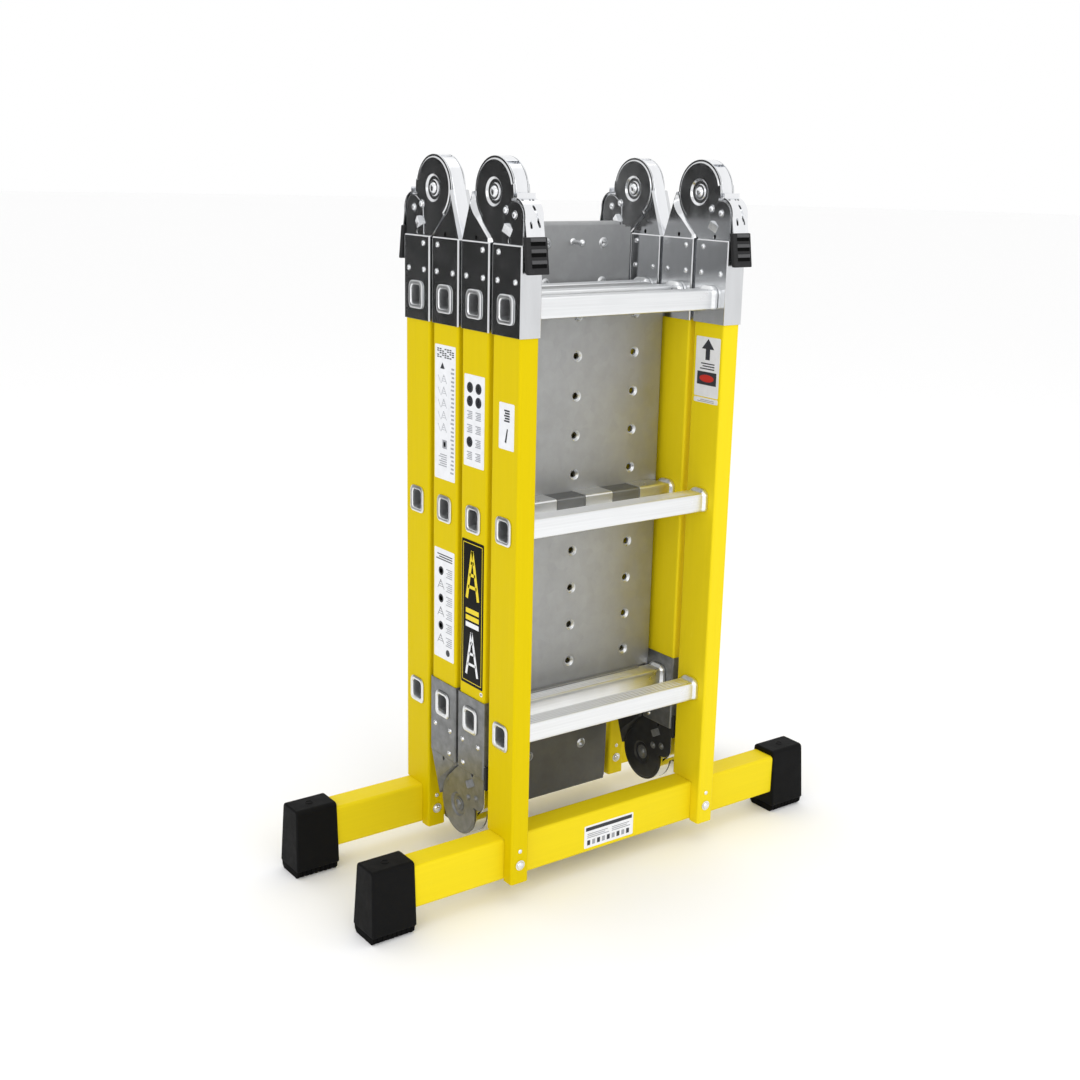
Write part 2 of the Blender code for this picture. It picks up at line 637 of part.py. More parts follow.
def make_short_plate():
    """Short plate behind the mid front section, resting on its lowest rung and hooked over its middle rung."""
    y = SECTION_Y["mid_front"]
    rung_top = RUNG_HEIGHTS[1] + RUNG_SIZE[1] / 2 + GAP
    foot = RUNG_HEIGHTS[0] + RUNG_SIZE[1] / 2 + GAP
    plate = moved(make_tray(SHORT_PLATE_TOP - foot), (0, SHORT_PLATE_Y, foot))
    front = y - RUNG_SIZE[0] / 2 - GAP
    tab_front = front - PLATE_SHEET
    starts = hook_tab_starts()
    edges = (starts[0] - HOOK_STRIP_BEFORE, starts[-1] + HOOK_TAB_WIDTH)
    behind = SHORT_PLATE_Y + PLATE_SHEET / 2
    strip_top = rung_top + PLATE_SHEET
    hooks = [box((edges[0], tab_front, rung_top), (edges[1], behind, strip_top))]
    for start in starts:
        low, high = strip_top - HOOK_TAB_HEIGHT, rung_top + PLATE_SHEET / 2
        end = start + HOOK_TAB_WIDTH - HOOK_TAB_GAP
        hooks.append(box((start, tab_front, low), (end, front, high)))
    lip_front = SHORT_PLATE_Y - FOOT_LIP_DEPTH
    lip_half = FOOT_LIP_HALF_WIDTH
    lip = box((-lip_half, lip_front, foot), (lip_half, behind, foot + PLATE_SHEET))
    return combined(plate, [*hooks, lip], "UNION")


class Ladder:
    """Collects the named parts, their materials and the empties on the joints' axes."""

    def __init__(self):
        self.collection = new_collection("multi_position_ladder")
        self.materials = {name: make_material(name) for name in MATERIALS}

    def joint(self, name, place, parent=None):
        empty = bpy.data.objects.new(name, None)
        empty.empty_display_size = 0.03
        self.collection.objects.link(empty)
        empty.location = place
        if parent is not None:
            empty.parent = parent
            empty.matrix_parent_inverse = Matrix.Translation(parent["place"]).inverted()
        empty["place"] = tuple(place)
        return empty

    def add(self, name, mesh, material, place=(0, 0, 0), parent=None):
        obj = bpy.data.objects.new(name, mesh)
        if not mesh.materials:
            mesh.materials.append(self.materials[material])
        self.collection.objects.link(obj)
        obj.location = place
        if parent is not None:
            obj.parent = parent
            obj.matrix_parent_inverse = Matrix.Translation(parent["place"]).inverted()
        return obj


def taken(solid, smooth=True):
    """Mesh of a helper object, which is then removed."""
    mesh = solid.data
    bpy.data.objects.remove(solid, do_unlink=True)
    if smooth:
        mesh.shade_smooth()
        mesh.set_sharp_from_angle(angle=math.radians(35))
    return mesh


def section_joints(ladder):
    """The three fold axes, in a chain from the front section to the rear one."""
    joints = {"front": None}
    parent = None
    for name, child in (("front", "mid_front"), ("middle", "mid_rear"), ("rear", "rear")):
        pivot = HINGES[name][2]
        parent = ladder.joint(f"fold_{name}", (0, *pivot), parent)
        joints[child] = parent
    return joints


def add_rails_and_rungs(ladder, joints):
    rungs = {on_sleeve: taken(make_rung(on_sleeve)) for on_sleeve in (False, True)}
    for section in SECTIONS:
        mesh = taken(make_rail(section))
        for side, x in SIDES.items():
            ladder.add(f"{section}_rail_{side}", mesh, "yellow_fibreglass", (x, 0, 0), joints[section])
        for level, z in zip(("low", "middle", "top"), RUNG_HEIGHTS):
            on_sleeve = level == "top" or (level == "low" and section.startswith("mid"))
            place = (0, SECTION_Y[section], z)
            ladder.add(f"{section}_rung_{level}", rungs[on_sleeve], "rung_aluminium", place, joints[section])


def add_hinges(ladder, joints):
    pin = taken(make_pivot_pin())
    for name, (outer, inner, pivot, signs) in HINGES.items():
        outer_mesh = taken(make_outer_half(signs))
        inner_mesh = taken(make_inner_half(signs))
        lever_mesh = taken(make_lever(BOTTOM_LEVER if name == "middle" else TOP_LEVER, signs))
        grip_mesh = taken(make_bottom_grip(signs) if name == "middle" else make_top_grip(signs))
        for side, x in SIDES.items():
            place = (x, *pivot)
            ladder.add(f"hinge_{name}_outer_{side}", outer_mesh, "hinge_steel", place, joints[outer])
            ladder.add(f"hinge_{name}_inner_{side}", inner_mesh, "hinge_steel", place, joints[inner])
            ladder.add(f"hinge_{name}_pin_{side}", pin, "lever_chrome", place, joints[outer])
            axis = (x, pivot[0] + signs[0] * KNUCKLE[0], pivot[1] + signs[1] * KNUCKLE[1])
            swing = ladder.joint(f"lever_{name}_{side}", axis, joints[outer])
            ladder.add(f"hinge_{name}_lever_{side}", lever_mesh, "lever_chrome", place, swing)
            ladder.add(f"hinge_{name}_grip_{side}", grip_mesh, "grip_plastic", place, swing)


def add_bars_and_boots(ladder, joints):
    for section in ("front", "rear"):
        mesh = taken(make_bar(section))
        ladder.add(f"{section}_bar", mesh, "yellow_fibreglass", parent=joints[section])
        for side, sign in (("left", -1), ("right", 1)):
            mesh = taken(make_boot(section, sign))
            ladder.add(f"boot_{section}_{side}", mesh, "boot_rubber", parent=joints[section])


def add_plates(ladder, joints):
    short = ladder.joint("lift_short_plate", (0, SHORT_PLATE_Y, RUNG_HEIGHTS[1]), joints["mid_front"])
    ladder.add("platform_plate_short", taken(make_short_plate(), False), "plate_steel", parent=short)
    long = ladder.joint("lift_long_plate", (0, LONG_PLATE_TOP_Y, RUNG_HEIGHTS[1]), joints["mid_rear"])
    ladder.add("platform_plate_long", taken(make_long_plate(), False), "plate_steel", parent=long)


def main():
    clear_scene()
    ladder = Ladder()
    joints = section_joints(ladder)
    add_rails_and_rungs(ladder, joints)
    add_hinges(ladder, joints)
    add_bars_and_boots(ladder, joints)
    add_plates(ladder, joints)


main()
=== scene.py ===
"""Looks of a folded multi position ladder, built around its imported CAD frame.

Metres, +Z up, front towards -Y. A hinge's shapes are drawn in its own plane, from its pivot:
u points to the lever's side and w points away from the sleeves.
"""

from math import acos, asin, atan2, ceil, cos, degrees, hypot, pi, radians, sin, sqrt

import bmesh
import bpy
from mathutils import Matrix, Vector


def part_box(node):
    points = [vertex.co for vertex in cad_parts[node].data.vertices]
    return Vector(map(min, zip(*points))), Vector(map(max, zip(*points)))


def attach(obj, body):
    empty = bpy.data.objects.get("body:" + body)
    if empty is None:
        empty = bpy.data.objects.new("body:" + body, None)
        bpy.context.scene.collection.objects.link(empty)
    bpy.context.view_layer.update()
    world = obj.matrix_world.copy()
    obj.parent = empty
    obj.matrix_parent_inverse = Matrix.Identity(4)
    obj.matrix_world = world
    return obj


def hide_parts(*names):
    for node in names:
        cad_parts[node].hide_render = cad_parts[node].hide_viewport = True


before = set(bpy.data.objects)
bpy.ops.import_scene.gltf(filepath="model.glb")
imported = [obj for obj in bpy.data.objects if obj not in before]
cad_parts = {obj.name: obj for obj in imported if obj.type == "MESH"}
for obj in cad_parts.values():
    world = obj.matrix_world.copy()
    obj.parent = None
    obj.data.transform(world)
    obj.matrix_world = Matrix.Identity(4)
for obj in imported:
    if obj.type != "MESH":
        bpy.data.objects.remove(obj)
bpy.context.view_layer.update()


def centre(node):
    low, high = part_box(node)
    return (low + high) / 2


SIDES = {"left": -1, "right": 1}
SECTIONS = ("front", "mid_front", "mid_rear", "rear")
OUTER_SECTIONS = ("front", "rear")
LEVELS = ("low", "middle", "top")
RAIL_X = centre("hinge_front_pin_right").x
SECTION_Y = {section: centre(f"{section}_rung_low").y for section in SECTIONS}
RUNG_Z = {level: centre(f"front_rung_{level}").z for level in LEVELS}

RAIL_HALF_WIDTH = 0.014
RAIL_HALF_DEPTH = 0.030
RAIL_FACE_X = RAIL_X + RAIL_HALF_WIDTH
WALL = 0.003
SHEET = 0.0015
TOUCH = 0.0002

SLEEVE_HALF_WIDTH = 0.0158
SLEEVE_HALF_DEPTH = 0.0318
SLEEVE_EDGE = -0.062
SLEEVE_END = -0.172
HALF_PITCH = 0.035
RUNG_BELOW_PIVOT = 0.139

DISC_RADIUS = 0.0425
PLATE_FACE = 0.0122
PLATE_BACK = 0.0092
CORE_HALF = 0.0089
NECK_FACE = 0.0146
KNUCKLE = (0.047, -0.028)
KNUCKLE_RADIUS = 0.019
LEVER_HALF_WIDTH = 0.0135

HINGES = {
    "front": ("front", "mid_front", (-1, 1)),
    "middle": ("mid_front", "mid_rear", (-1, -1)),
    "rear": ("rear", "mid_rear", (1, 1)),
}


# ---- materials


def even(value):
    return (value, value, value)


def scaled(colour, share):
    return tuple(part * share for part in colour)


class Finish:
    """Builds one procedural material on a Principled shader."""

    def __init__(self, name, colour, roughness, metallic=0.0, **sockets):
        self.material = bpy.data.materials.new(name)
        self.material.use_nodes = True
        self.nodes = self.material.node_tree.nodes
        self.links = self.material.node_tree.links
        self.shader = self.nodes["Principled BSDF"]
        self.colour = colour
        self.set_socket("Base Color", (*colour, 1.0))
        self.set_socket("Roughness", roughness)
        self.set_socket("Metallic", metallic)
        for socket, value in sockets.items():
            self.set_socket(socket.replace("_", " "), value)
        self.place = self.nodes.new("ShaderNodeTexCoord").outputs["Object"]

    def set_socket(self, socket, value):
        self.shader.inputs[socket].default_value = value

    def node(self, kind, source, socket, output, values):
        """Output of a new node that is fed by a source; values are those of its other sockets."""
        node = self.nodes.new(kind)
        for name, value in values.items():
            node.inputs[name].default_value = value
        self.links.new(source, node.inputs[socket])
        return node.outputs[output]

    def stretched(self, scale):
        return self.node("ShaderNodeMapping", self.place, "Vector", "Vector", {"Scale": scale})

    def noise(self, scale, detail=4.0, roughness=0.55):
        values = {"Scale": 1.0, "Detail": detail, "Roughness": roughness}
        return self.node("ShaderNodeTexNoise", self.stretched(scale), "Vector", "Fac", values)

    def cells(self, scale):
        tone = self.node("ShaderNodeTexVoronoi", self.stretched(scale), "Vector", "Color", {"Scale": 1.0})
        return self.node("ShaderNodeSeparateColor", tone, "Color", "Red", {})

    def ranged(self, value, low, high, start=0.3, end=0.7):
        limits = {"From Min": start, "From Max": end, "To Min": low, "To Max": high}
        return self.node("ShaderNodeMapRange", value, "Value", "Result", limits)

    def mixed(self, share, first, second):
        """Colour between two colours or colour outputs."""
        mix = self.nodes.new("ShaderNodeMix")
        mix.data_type = "RGBA"
        self.links.new(share, mix.inputs["Factor"])
        for socket, colour in ((6, first), (7, second)):
            if isinstance(colour, tuple):
                mix.inputs[socket].default_value = (*colour, 1.0)
            else:
                self.links.new(colour, mix.inputs[socket])
        return mix.outputs[2]

    def tint(self, value, amount):
        """The colour from a little darker to a little lighter, by a pattern."""
        lighter = tuple(min(1.0, c * (1 + amount)) for c in self.colour)
        return self.mixed(self.ranged(value, 0.0, 1.0), scaled(self.colour, 1 - amount), lighter)

    def done(self, colour, smudge, roughness, grain, distance, strength):
        """Material with its colour, its roughness varied by one pattern and its bump by another."""
        self.links.new(colour, self.shader.inputs["Base Color"])
        self.links.new(self.ranged(smudge, *roughness), self.shader.inputs["Roughness"])
        if distance:
            values = {"Strength": strength, "Distance": distance}
            normal = self.node("ShaderNodeBump", grain, "Height", "Normal", values)
            self.links.new(normal, self.shader.inputs["Normal"])
        return self.material


def fibreglass(name, grain, colour, specular):
    """Pultruded profile: fibre streaks with a grain's scale, a soft mottle and paler scuffs."""
    finish = Finish(name, colour, 0.42, Specular_IOR_Level=specular)
    paler = tuple(part * share for part, share in zip(colour, (1.1, 1.15, 6.0)))
    deeper = tuple(part * share for part, share in zip(colour, (1.01, 0.99, 0.5)))
    streaks = finish.noise(grain, 6.0, 0.6)
    mottle = finish.noise((14.0, 14.0, 9.0), 3.0)
    scuffs = finish.noise((55.0, 55.0, 30.0), 5.0, 0.7)
    worn = finish.mixed(finish.ranged(scuffs, 0.0, 0.28, 0.62, 0.8), finish.tint(streaks, 0.018), paler)
    shade = finish.mixed(finish.ranged(mottle, 0.0, 0.10, 0.35, 0.75), worn, deeper)
    return finish.done(shade, scuffs, (0.40, 0.56), streaks, 0.0003, 0.06)


def metal(
    name, colour, roughness, grain, tint, bump, strength=0.25, blotches=None, metallic=1.0, shade_heights=None
):
    """Metal with a grain in its colour and bump; blotches is their scale, shade_heights a range of heights
    over which painted shade darkens it towards the bottom.
    """
    finish = Finish(name, colour, roughness[0], metallic)
    pattern = finish.noise(grain, 5.0, 0.6)
    smudge = finish.noise(even(38.0), 4.0, 0.65)
    base = finish.tint(pattern, tint)
    if blotches is not None:
        spots = finish.ranged(finish.cells(even(blotches)), 0.0, 0.14, 0.1, 0.9)
        base = finish.mixed(spots, base, scaled(colour, 0.7))
    # Painted shade: the colour darkens towards the bottom over the given heights.
    if shade_heights is not None:
        height = finish.node("ShaderNodeSeparateXYZ", finish.place, "Vector", "Z", {})
        base = finish.mixed(finish.ranged(height, 0.62, 0.0, *shade_heights), base, scaled(colour, 0.1))
    return finish.done(base, smudge, roughness, pattern, bump, strength)


def moulded(name, colour, roughness, scale, bump):
    """Black moulded rubber or plastic with a fine spark-eroded texture and paler scuffs."""
    finish = Finish(name, colour, roughness[0], Specular_IOR_Level=0.10)
    fine = finish.noise(even(scale), 3.0, 0.6)
    scuffs = finish.noise(even(60.0), 6.0, 0.75)
    worn = finish.ranged(scuffs, 0.0, 0.5, 0.6, 0.85)
    shade = finish.mixed(worn, finish.tint(fine, 0.18), scaled(colour, 2.6))
    return finish.done(shade, scuffs, roughness, fine, bump, 0.35)


def printed(name, colour, roughness=0.35, specular=0.25):
    """Printed film: nearly even colour with faint ink mottle and dust."""
    finish = Finish(name, colour, roughness, Specular_IOR_Level=specular)
    dust = finish.noise(even(90.0), 5.0, 0.7)
    return finish.done(finish.tint(dust, 0.05), dust, (roughness - 0.08, roughness + 0.12), dust, 0.0, 0.0)


LOOKS = {}


def add_looks(slot, make, *rows):
    """Looks of one slot; a row is a look, its material's name and the values it is made with."""
    for look, name, *values in rows:
        LOOKS[look] = (make(name, *values), slot)


UPRIGHT, LEVEL = (260.0, 260.0, 7.0), (7.0, 260.0, 260.0)
DULL = ((0.30, 0.44), even(70.0), 0.25, 0.0006, 0.15, 110.0, 0.6)
GALVANISED = ((0.39, 0.395, 0.40), (0.46, 0.60), (30.0, 90.0, 14.0), 0.04, 0.0006, 0.10, 75.0)

# One yellow fibreglass in three tones. rail_left is painted darker: painted shade on the left rails' outer
# faces. rail_right and bar are painted lighter: painted light on the right rails' inner faces and the bars'
# shaded faces.
add_looks(
    "yellow_fibreglass",
    fibreglass,
    ("rail_left", "rail_left_fibreglass", UPRIGHT, (0.67, 0.512, 0.0006), 0.06),
    ("rail_right", "rail_right_fibreglass", UPRIGHT, (0.81, 0.64, 0.008), 0.13),
    ("bar", "bar_fibreglass", LEVEL, (0.80, 0.63, 0.008), 0.13),
)
add_looks(
    "rung_aluminium",
    metal,
    ("rung", "rung_metal", (0.80, 0.81, 0.82), (0.27, 0.41), (5.0, 420.0, 420.0), 0.05, 0.0002),
)
add_looks(
    "hinge_steel",
    metal,
    ("hinge", "hinge_plating", (0.68, 0.69, 0.705), (0.13, 0.21), (90.0, 90.0, 16.0), 0.05, 0.0003, 0.06),
    # Middle hinges: a rougher, darker copy of the plating. The roughness is its finish; the darker colour is
    # painted shade.
    ("hinge_dull", "hinge_dull_plating", (0.20, 0.205, 0.21), *DULL),
    # Right middle hinge: a near-black copy of the plating, a painted dark reflection.
    ("hinge_dark", "hinge_dark_plating", (0.05, 0.051, 0.053), *DULL),
)
add_looks(
    "lever_chrome",
    metal,
    ("rivet", "rivet_steel", (0.80, 0.81, 0.83), (0.14, 0.26), even(160.0), 0.08, 0.0003),
    ("chrome", "lever_plating", (0.86, 0.87, 0.89), (0.12, 0.20), (45.0, 45.0, 12.0), 0.03, 0.0002, 0.04),
)
add_looks(
    "plate_steel",
    metal,
    ("plate", "plate_galvanised", *GALVANISED),
    # The long plate's sheet is painted darker towards its foot: painted shade.
    ("plate_worn", "plate_worn_galvanised", *GALVANISED, 1.0, (0.06, 0.75)),
    ("plate_rim", "plate_pressed_rim", (0.62, 0.63, 0.64), (0.30, 0.42), even(90.0), 0.06, 0.0003),
    ("hook", "hook_bright_steel", (0.80, 0.81, 0.82), (0.26, 0.38), (12.0, 160.0, 160.0), 0.05, 0.0003),
    # Dark steel: painted shade on the hook strips between the tabs; the lever pin ends use it too.
    ("hook_strip", "hook_dull_steel", (0.24, 0.245, 0.25), (0.38, 0.50), (20.0, 160.0, 160.0), 0.08, 0.0003),
)
add_looks(
    "boot_rubber",
    moulded,
    ("boot", "boot_black_rubber", (0.0035, 0.0036, 0.0038), (0.54, 0.70), 900.0, 0.0004),
    # The next look is the black rubber made darker still. It is painted shade on the boot soles, and the
    # black painted shade in service holes and grip grooves.
    ("sole", "sole_black_rubber", even(0.0012), (0.70, 0.85), 600.0, 0.0006),
)
add_looks(
    "grip_plastic",
    moulded,
    ("grip", "grip_black_plastic", (0.025, 0.025, 0.026), (0.34, 0.48), 1100.0, 0.0002),
    # The grip's ribs are a paler black than its body.
    ("grip_rib", "grip_worn_rib", (0.085, 0.085, 0.088), (0.34, 0.46), 1100.0, 0.0002),
)
add_looks(
    None,
    printed,
    ("label", "label_white_film", (0.80, 0.81, 0.84)),
    ("label_black", "label_black_film", even(0.003), 0.40, 0.10),
    ("ink", "label_dark_ink", (0.035, 0.037, 0.045)),
    ("ink_pale", "label_grey_ink", (0.34, 0.35, 0.38)),
    ("ink_yellow", "label_yellow_ink", (0.80, 0.62, 0.02)),
    ("ink_red", "label_red_ink", (0.55, 0.03, 0.02)),
)


# ---- mesh tools


SHARP_ANGLE = 32


def plane_x(y, z, depth):
    """Outline in (Y, Z), depth along X."""
    return (depth, y, z)


def plane_y(x, z, depth):
    """Outline in (X, Z), depth along Y."""
    return (x, depth, z)


def plane_z(x, y, depth):
    """Outline in (X, Y), depth along Z."""
    return (x, y, depth)


def hinge_plane(signs):
    """Outline in a hinge's (u, w), depth along X."""
    return lambda u, w, depth: (depth, signs[0] * u, signs[1] * w)


def arc(middle, radius, start, end, step=7.0):
    count = max(2, ceil(abs(end - start) / step) + 1)
    angles = [radians(start + (end - start) * i / (count - 1)) for i in range(count)]
    return [(middle[0] + radius * cos(a), middle[1] + radius * sin(a)) for a in angles]


def rounded(width, height, corner, middle=(0.0, 0.0), step=15.0):
    points = []
    for turn, (sx, sy) in enumerate(((1, 1), (-1, 1), (-1, -1), (1, -1))):
        place = (middle[0] + sx * (width / 2 - corner), middle[1] + sy * (height / 2 - corner))
        points += arc(place, corner, 90 * turn, 90 * turn + 90, step)
    return points


def box_outline(left, low, right, high):
    return [(left, low), (right, low), (right, high), (left, high)]


def polar(radius, angle):
    return (radius * cos(radians(angle)), radius * sin(radians(angle)))


def bearing(x, y):
    return degrees(atan2(y, x))


def disc_tangent(point):
    """Angle at which a line from a point below a hinge's disc touches the disc's left side."""
    return bearing(*point) - degrees(acos(DISC_RADIUS / hypot(*point))) + 360


def closed_mesh(shape):
    bmesh.ops.recalc_face_normals(shape, faces=shape.faces)
    mesh = bpy.data.meshes.new("shape")
    shape.to_mesh(mesh)
    shape.free()
    mesh.shade_smooth()
    mesh.set_sharp_from_angle(angle=radians(SHARP_ANGLE))
    return mesh


def bridge(shape, first, second):
    """Faces between two rings; a ring of one vertex is a tip."""
    count = max(len(first), len(second))
    for i in range(count):
        j = (i + 1) % count
        if len(first) == 1:
            shape.faces.new((first[0], second[i], second[j]))
        elif len(second) == 1:
            shape.faces.new((first[i], first[j], second[0]))
        else:
            shape.faces.new((first[i], first[j], second[j], second[i]))


def loft(rings, closed=False):
    """Closed mesh through rings of points; closed joins the last ring to the first one."""
    shape = bmesh.new()
    made = [[shape.verts.new(point) for point in ring] for ring in rings]
    for first, second in zip(made, made[1:]):
        bridge(shape, first, second)
    if closed:
        bridge(shape, made[-1], made[0])
    else:
        for ring in (made[0], made[-1]):
            if len(ring) > 2:
                shape.faces.new(ring)
    return closed_mesh(shape)


def banded(bands, plane, closed=False):
    """Mesh through outlines at their depths."""
    return loft([[plane(a, b, depth) for a, b in outline] for outline, depth in bands], closed)


def prism(outline, low, high, plane):
    return banded([(outline, low), (outline, high)], plane)


def tube(outer, inner, low, high, plane):
    return banded([(outer, low), (outer, high), (inner, high), (inner, low)], plane, True)


def turned(profile, plane, middle=(0.0, 0.0), sides=28, closed=False):
    """Turned mesh; the profile is (radius, depth)."""
    rings = []
    for radius, depth in profile:
        angles = [0.0] if radius == 0 else [360 * i / sides for i in range(sides)]
        offsets = [polar(radius, angle) for angle in angles]
        rings.append([plane(middle[0] + a, middle[1] + b, depth) for a, b in offsets])
    return loft(rings, closed)


def drum(radius, low, high):
    """Profile of a plain disc."""
    return [(0, low), (radius, low), (radius, high), (0, high)]


def gathered(meshes):
    """One mesh of several separate bodies."""
    shape = bmesh.new()
    for mesh in meshes:
        shape.from_mesh(mesh)
    return closed_mesh(shape)


def linked(name, data):
    """New object in the scene."""
    obj = bpy.data.objects.new(name, data)
    bpy.context.scene.collection.objects.link(obj)
    return obj


def evaluated(obj, extra=()):
    graph = bpy.context.evaluated_depsgraph_get()
    mesh = bpy.data.meshes.new_from_object(obj.evaluated_get(graph))
    for other in (obj, *extra):
        bpy.data.objects.remove(other, do_unlink=True)
    shape = bmesh.new()
    shape.from_mesh(mesh)
    bmesh.ops.remove_doubles(shape, verts=shape.verts, dist=1e-6)
    return closed_mesh(shape)


def combined(mesh, others, operation="DIFFERENCE"):
    """Mesh with others cut from it or joined to it."""
    obj = linked("helper", mesh)
    tools = [linked("tool", other) for other in others]
    for tool in tools:
        change = obj.modifiers.new("change", "BOOLEAN")
        change.operation = operation
        change.object = tool
        change.solver = "EXACT"
    return evaluated(obj, tools)


def softened(mesh, width, segments=2, angle=40):
    """Mesh with its sharp edges rounded."""
    obj = linked("helper", mesh)
    bevel = obj.modifiers.new("soft", "BEVEL")
    bevel.width = width
    bevel.segments = segments
    bevel.limit_method = "ANGLE"
    bevel.angle_limit = radians(angle)
    return evaluated(obj)


def piece(name, mesh, look, body, place=(0, 0, 0), replaces=()):
    """Shows a mesh as a piece of the object, riding on a body."""
    material, slot = LOOKS[look]
    if mesh.materials and mesh.materials[0] != material:
        mesh = mesh.copy()
        mesh.materials.clear()
    if not mesh.materials:
        mesh.materials.append(material)
    obj = linked(name, mesh)
    obj.location = place
    obj.modifiers.new("even_shading", "WEIGHTED_NORMAL").keep_sharp = True
    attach(obj, body)
    if replaces:
        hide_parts(*replaces)
    return obj


# ---- rails and bars

RAIL_CORNERS = (0.0034, 0.0012)
RUNG_HOLE = (0.0241, 0.0261, 0.004)
THROUGH = 0.05
BAR_CLEARING = (0.1, 0.2)
BOLT_Z = 0.058
SMALL_RIVET_Z = 0.078
WASHER = 0.0012


def rail_outline(shrink, corner, y):
    return rounded(2 * (RAIL_HALF_WIDTH - shrink), 2 * (RAIL_HALF_DEPTH - shrink), corner, (0.0, y))


def rung_hole(y, z):
    return prism(rounded(*RUNG_HOLE, (y, z)), -THROUGH, THROUGH, plane_x)


def make_rail(section, low, high):
    """Hollow profile; the outer sections' rails keep only their front tab at the bar."""
    y = SECTION_Y[section]
    outer, inner = (rail_outline(shrink, corner, y) for shrink, corner in zip((0, WALL), RAIL_CORNERS))
    rail = tube(outer, inner, low, high, plane_z)
    holes = [rung_hole(y, RUNG_Z[level]) for level in LEVELS if low < RUNG_Z[level] < high]
    rail = combined(rail, holes)
    if section in OUTER_SECTIONS:
        bar_low, bar_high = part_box(f"{section}_bar")
        middle = (bar_low.y - TOUCH + BAR_CLEARING[0] / 2, bar_high.z + TOUCH - BAR_CLEARING[1] / 2)
        cutter = prism(rounded(*BAR_CLEARING, 0.001, middle), -THROUGH, THROUGH, plane_x)
        rail = combined(rail, [cutter])
    return softened(rail, 0.0006)


def add_rails():
    for section in SECTIONS:
        low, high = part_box(f"{section}_rail_left")
        mesh = make_rail(section, low.z, high.z)
        for side, sign in SIDES.items():
            node = f"{section}_rail_{side}"
            # rail_{side} picks the left rails' tone, painted darker, or the right rails' tone, painted
            # lighter.
            piece(f"{node}_profile", mesh, f"rail_{side}", section, (sign * RAIL_X, 0, 0), (node,))


def dome(radius, height, base):
    """Profile of a domed head from its seat; base is how deep it starts."""
    arch = [(radius * a, height * b) for a, b in (polar(1.0, 15 * i) for i in range(6))]
    return [(0, -base), (radius, -base), *arch, (0, height)]


def add_bars():
    for section in OUTER_SECTIONS:
        low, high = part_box(f"{section}_bar")
        middle = (low + high) / 2
        size = high - low
        outer = rounded(size.y, size.z, 0.0045, (middle.y, middle.z))
        inner = rounded(size.y - 2 * WALL, size.z - 2 * WALL, 0.0015, (middle.y, middle.z))
        bar = softened(tube(outer, inner, low.x, high.x, plane_x), 0.0005)
        piece(f"{section}_bar_profile", bar, "bar", section, replaces=(f"{section}_bar",))
        face = SECTION_Y[section] - RAIL_HALF_DEPTH
        front = lambda x, z, depth: (x, face - depth, z)
        back = lambda x, z, depth: (x, high.y + depth, z)
        for side, sign in SIDES.items():
            bolt, rivet = (sign * RAIL_X, BOLT_Z), (sign * RAIL_X, SMALL_RIVET_Z)
            washer = softened(turned(drum(0.0072, -TOUCH, WASHER), front, bolt), 0.0003)
            head = turned([(r, WASHER + d) for r, d in dome(0.0056, 0.0036, 0.0001)], front, bolt)
            small = turned(dome(0.0032, 0.0016, 0.0003), front, rivet)
            piece(f"{section}_bar_bolts_{side}", gathered([washer, head, small]), "rivet", section)
            nut = softened(turned(drum(0.0064, -TOUCH, 0.005), back, bolt, 6), 0.0005)
            tip = [(0, 0.004), (0.0030, 0.004), (0.0030, 0.0072), (0.0024, 0.0078), (0, 0.0078)]
            end = turned(tip, back, bolt, 20)
            piece(f"{section}_bar_nut_{side}", gathered([nut, end]), "rivet", section)


# ---- boots

BOOT_CORNER = 0.0060
BOOT_FLARE = 0.0034
SOLE_TOP = 0.013
TREADS = 9
TREAD_END = 0.0012


def boot_outline(half_top, half_bottom, low, high, rise):
    """Boot seen along the bar: rounded shoulders, flared sides, drawn in towards the sole."""
    right = arc((half_bottom - rise, low + rise), rise, -90, 0, 15)
    right += arc((half_top - BOOT_CORNER, high - BOOT_CORNER), BOOT_CORNER, 0, 90, 12)
    return right + [(-y, z) for y, z in reversed(right)]


def flared(mesh, sign, outer_x, high):
    """Mesh with the boot's outer end drawn in towards its top."""
    for vertex in mesh.vertices:
        share = max(0.0, 1.0 - abs(outer_x - vertex.co.x) / 0.02)
        rise = max(0.0, (vertex.co.z - SOLE_TOP) / (high - SOLE_TOP))
        vertex.co.x -= sign * BOOT_FLARE * share * rise
    return mesh


def make_sole(low_x, high_x, y):
    """Tread under a boot: one tapered block with grooves across it."""
    right = [(0.0195, 0.0), (0.0240, 0.0045), (0.0252, SOLE_TOP)]
    outline = [(-0.0195, 0.0), *right, (-0.0252, SOLE_TOP), (-0.0240, 0.0045)]
    grooved = [(a * 0.95, max(b, 0.0012)) for a, b in outline]
    rings = []
    pitch = (high_x - low_x - 2 * TREAD_END) / TREADS
    for i in range(TREADS):
        for share, shape in ((0.0, grooved), (0.06, outline), (0.76, outline), (0.82, grooved)):
            rings.append([(low_x + TREAD_END + (i + share) * pitch, y + a, b) for a, b in shape])
    return loft(rings)


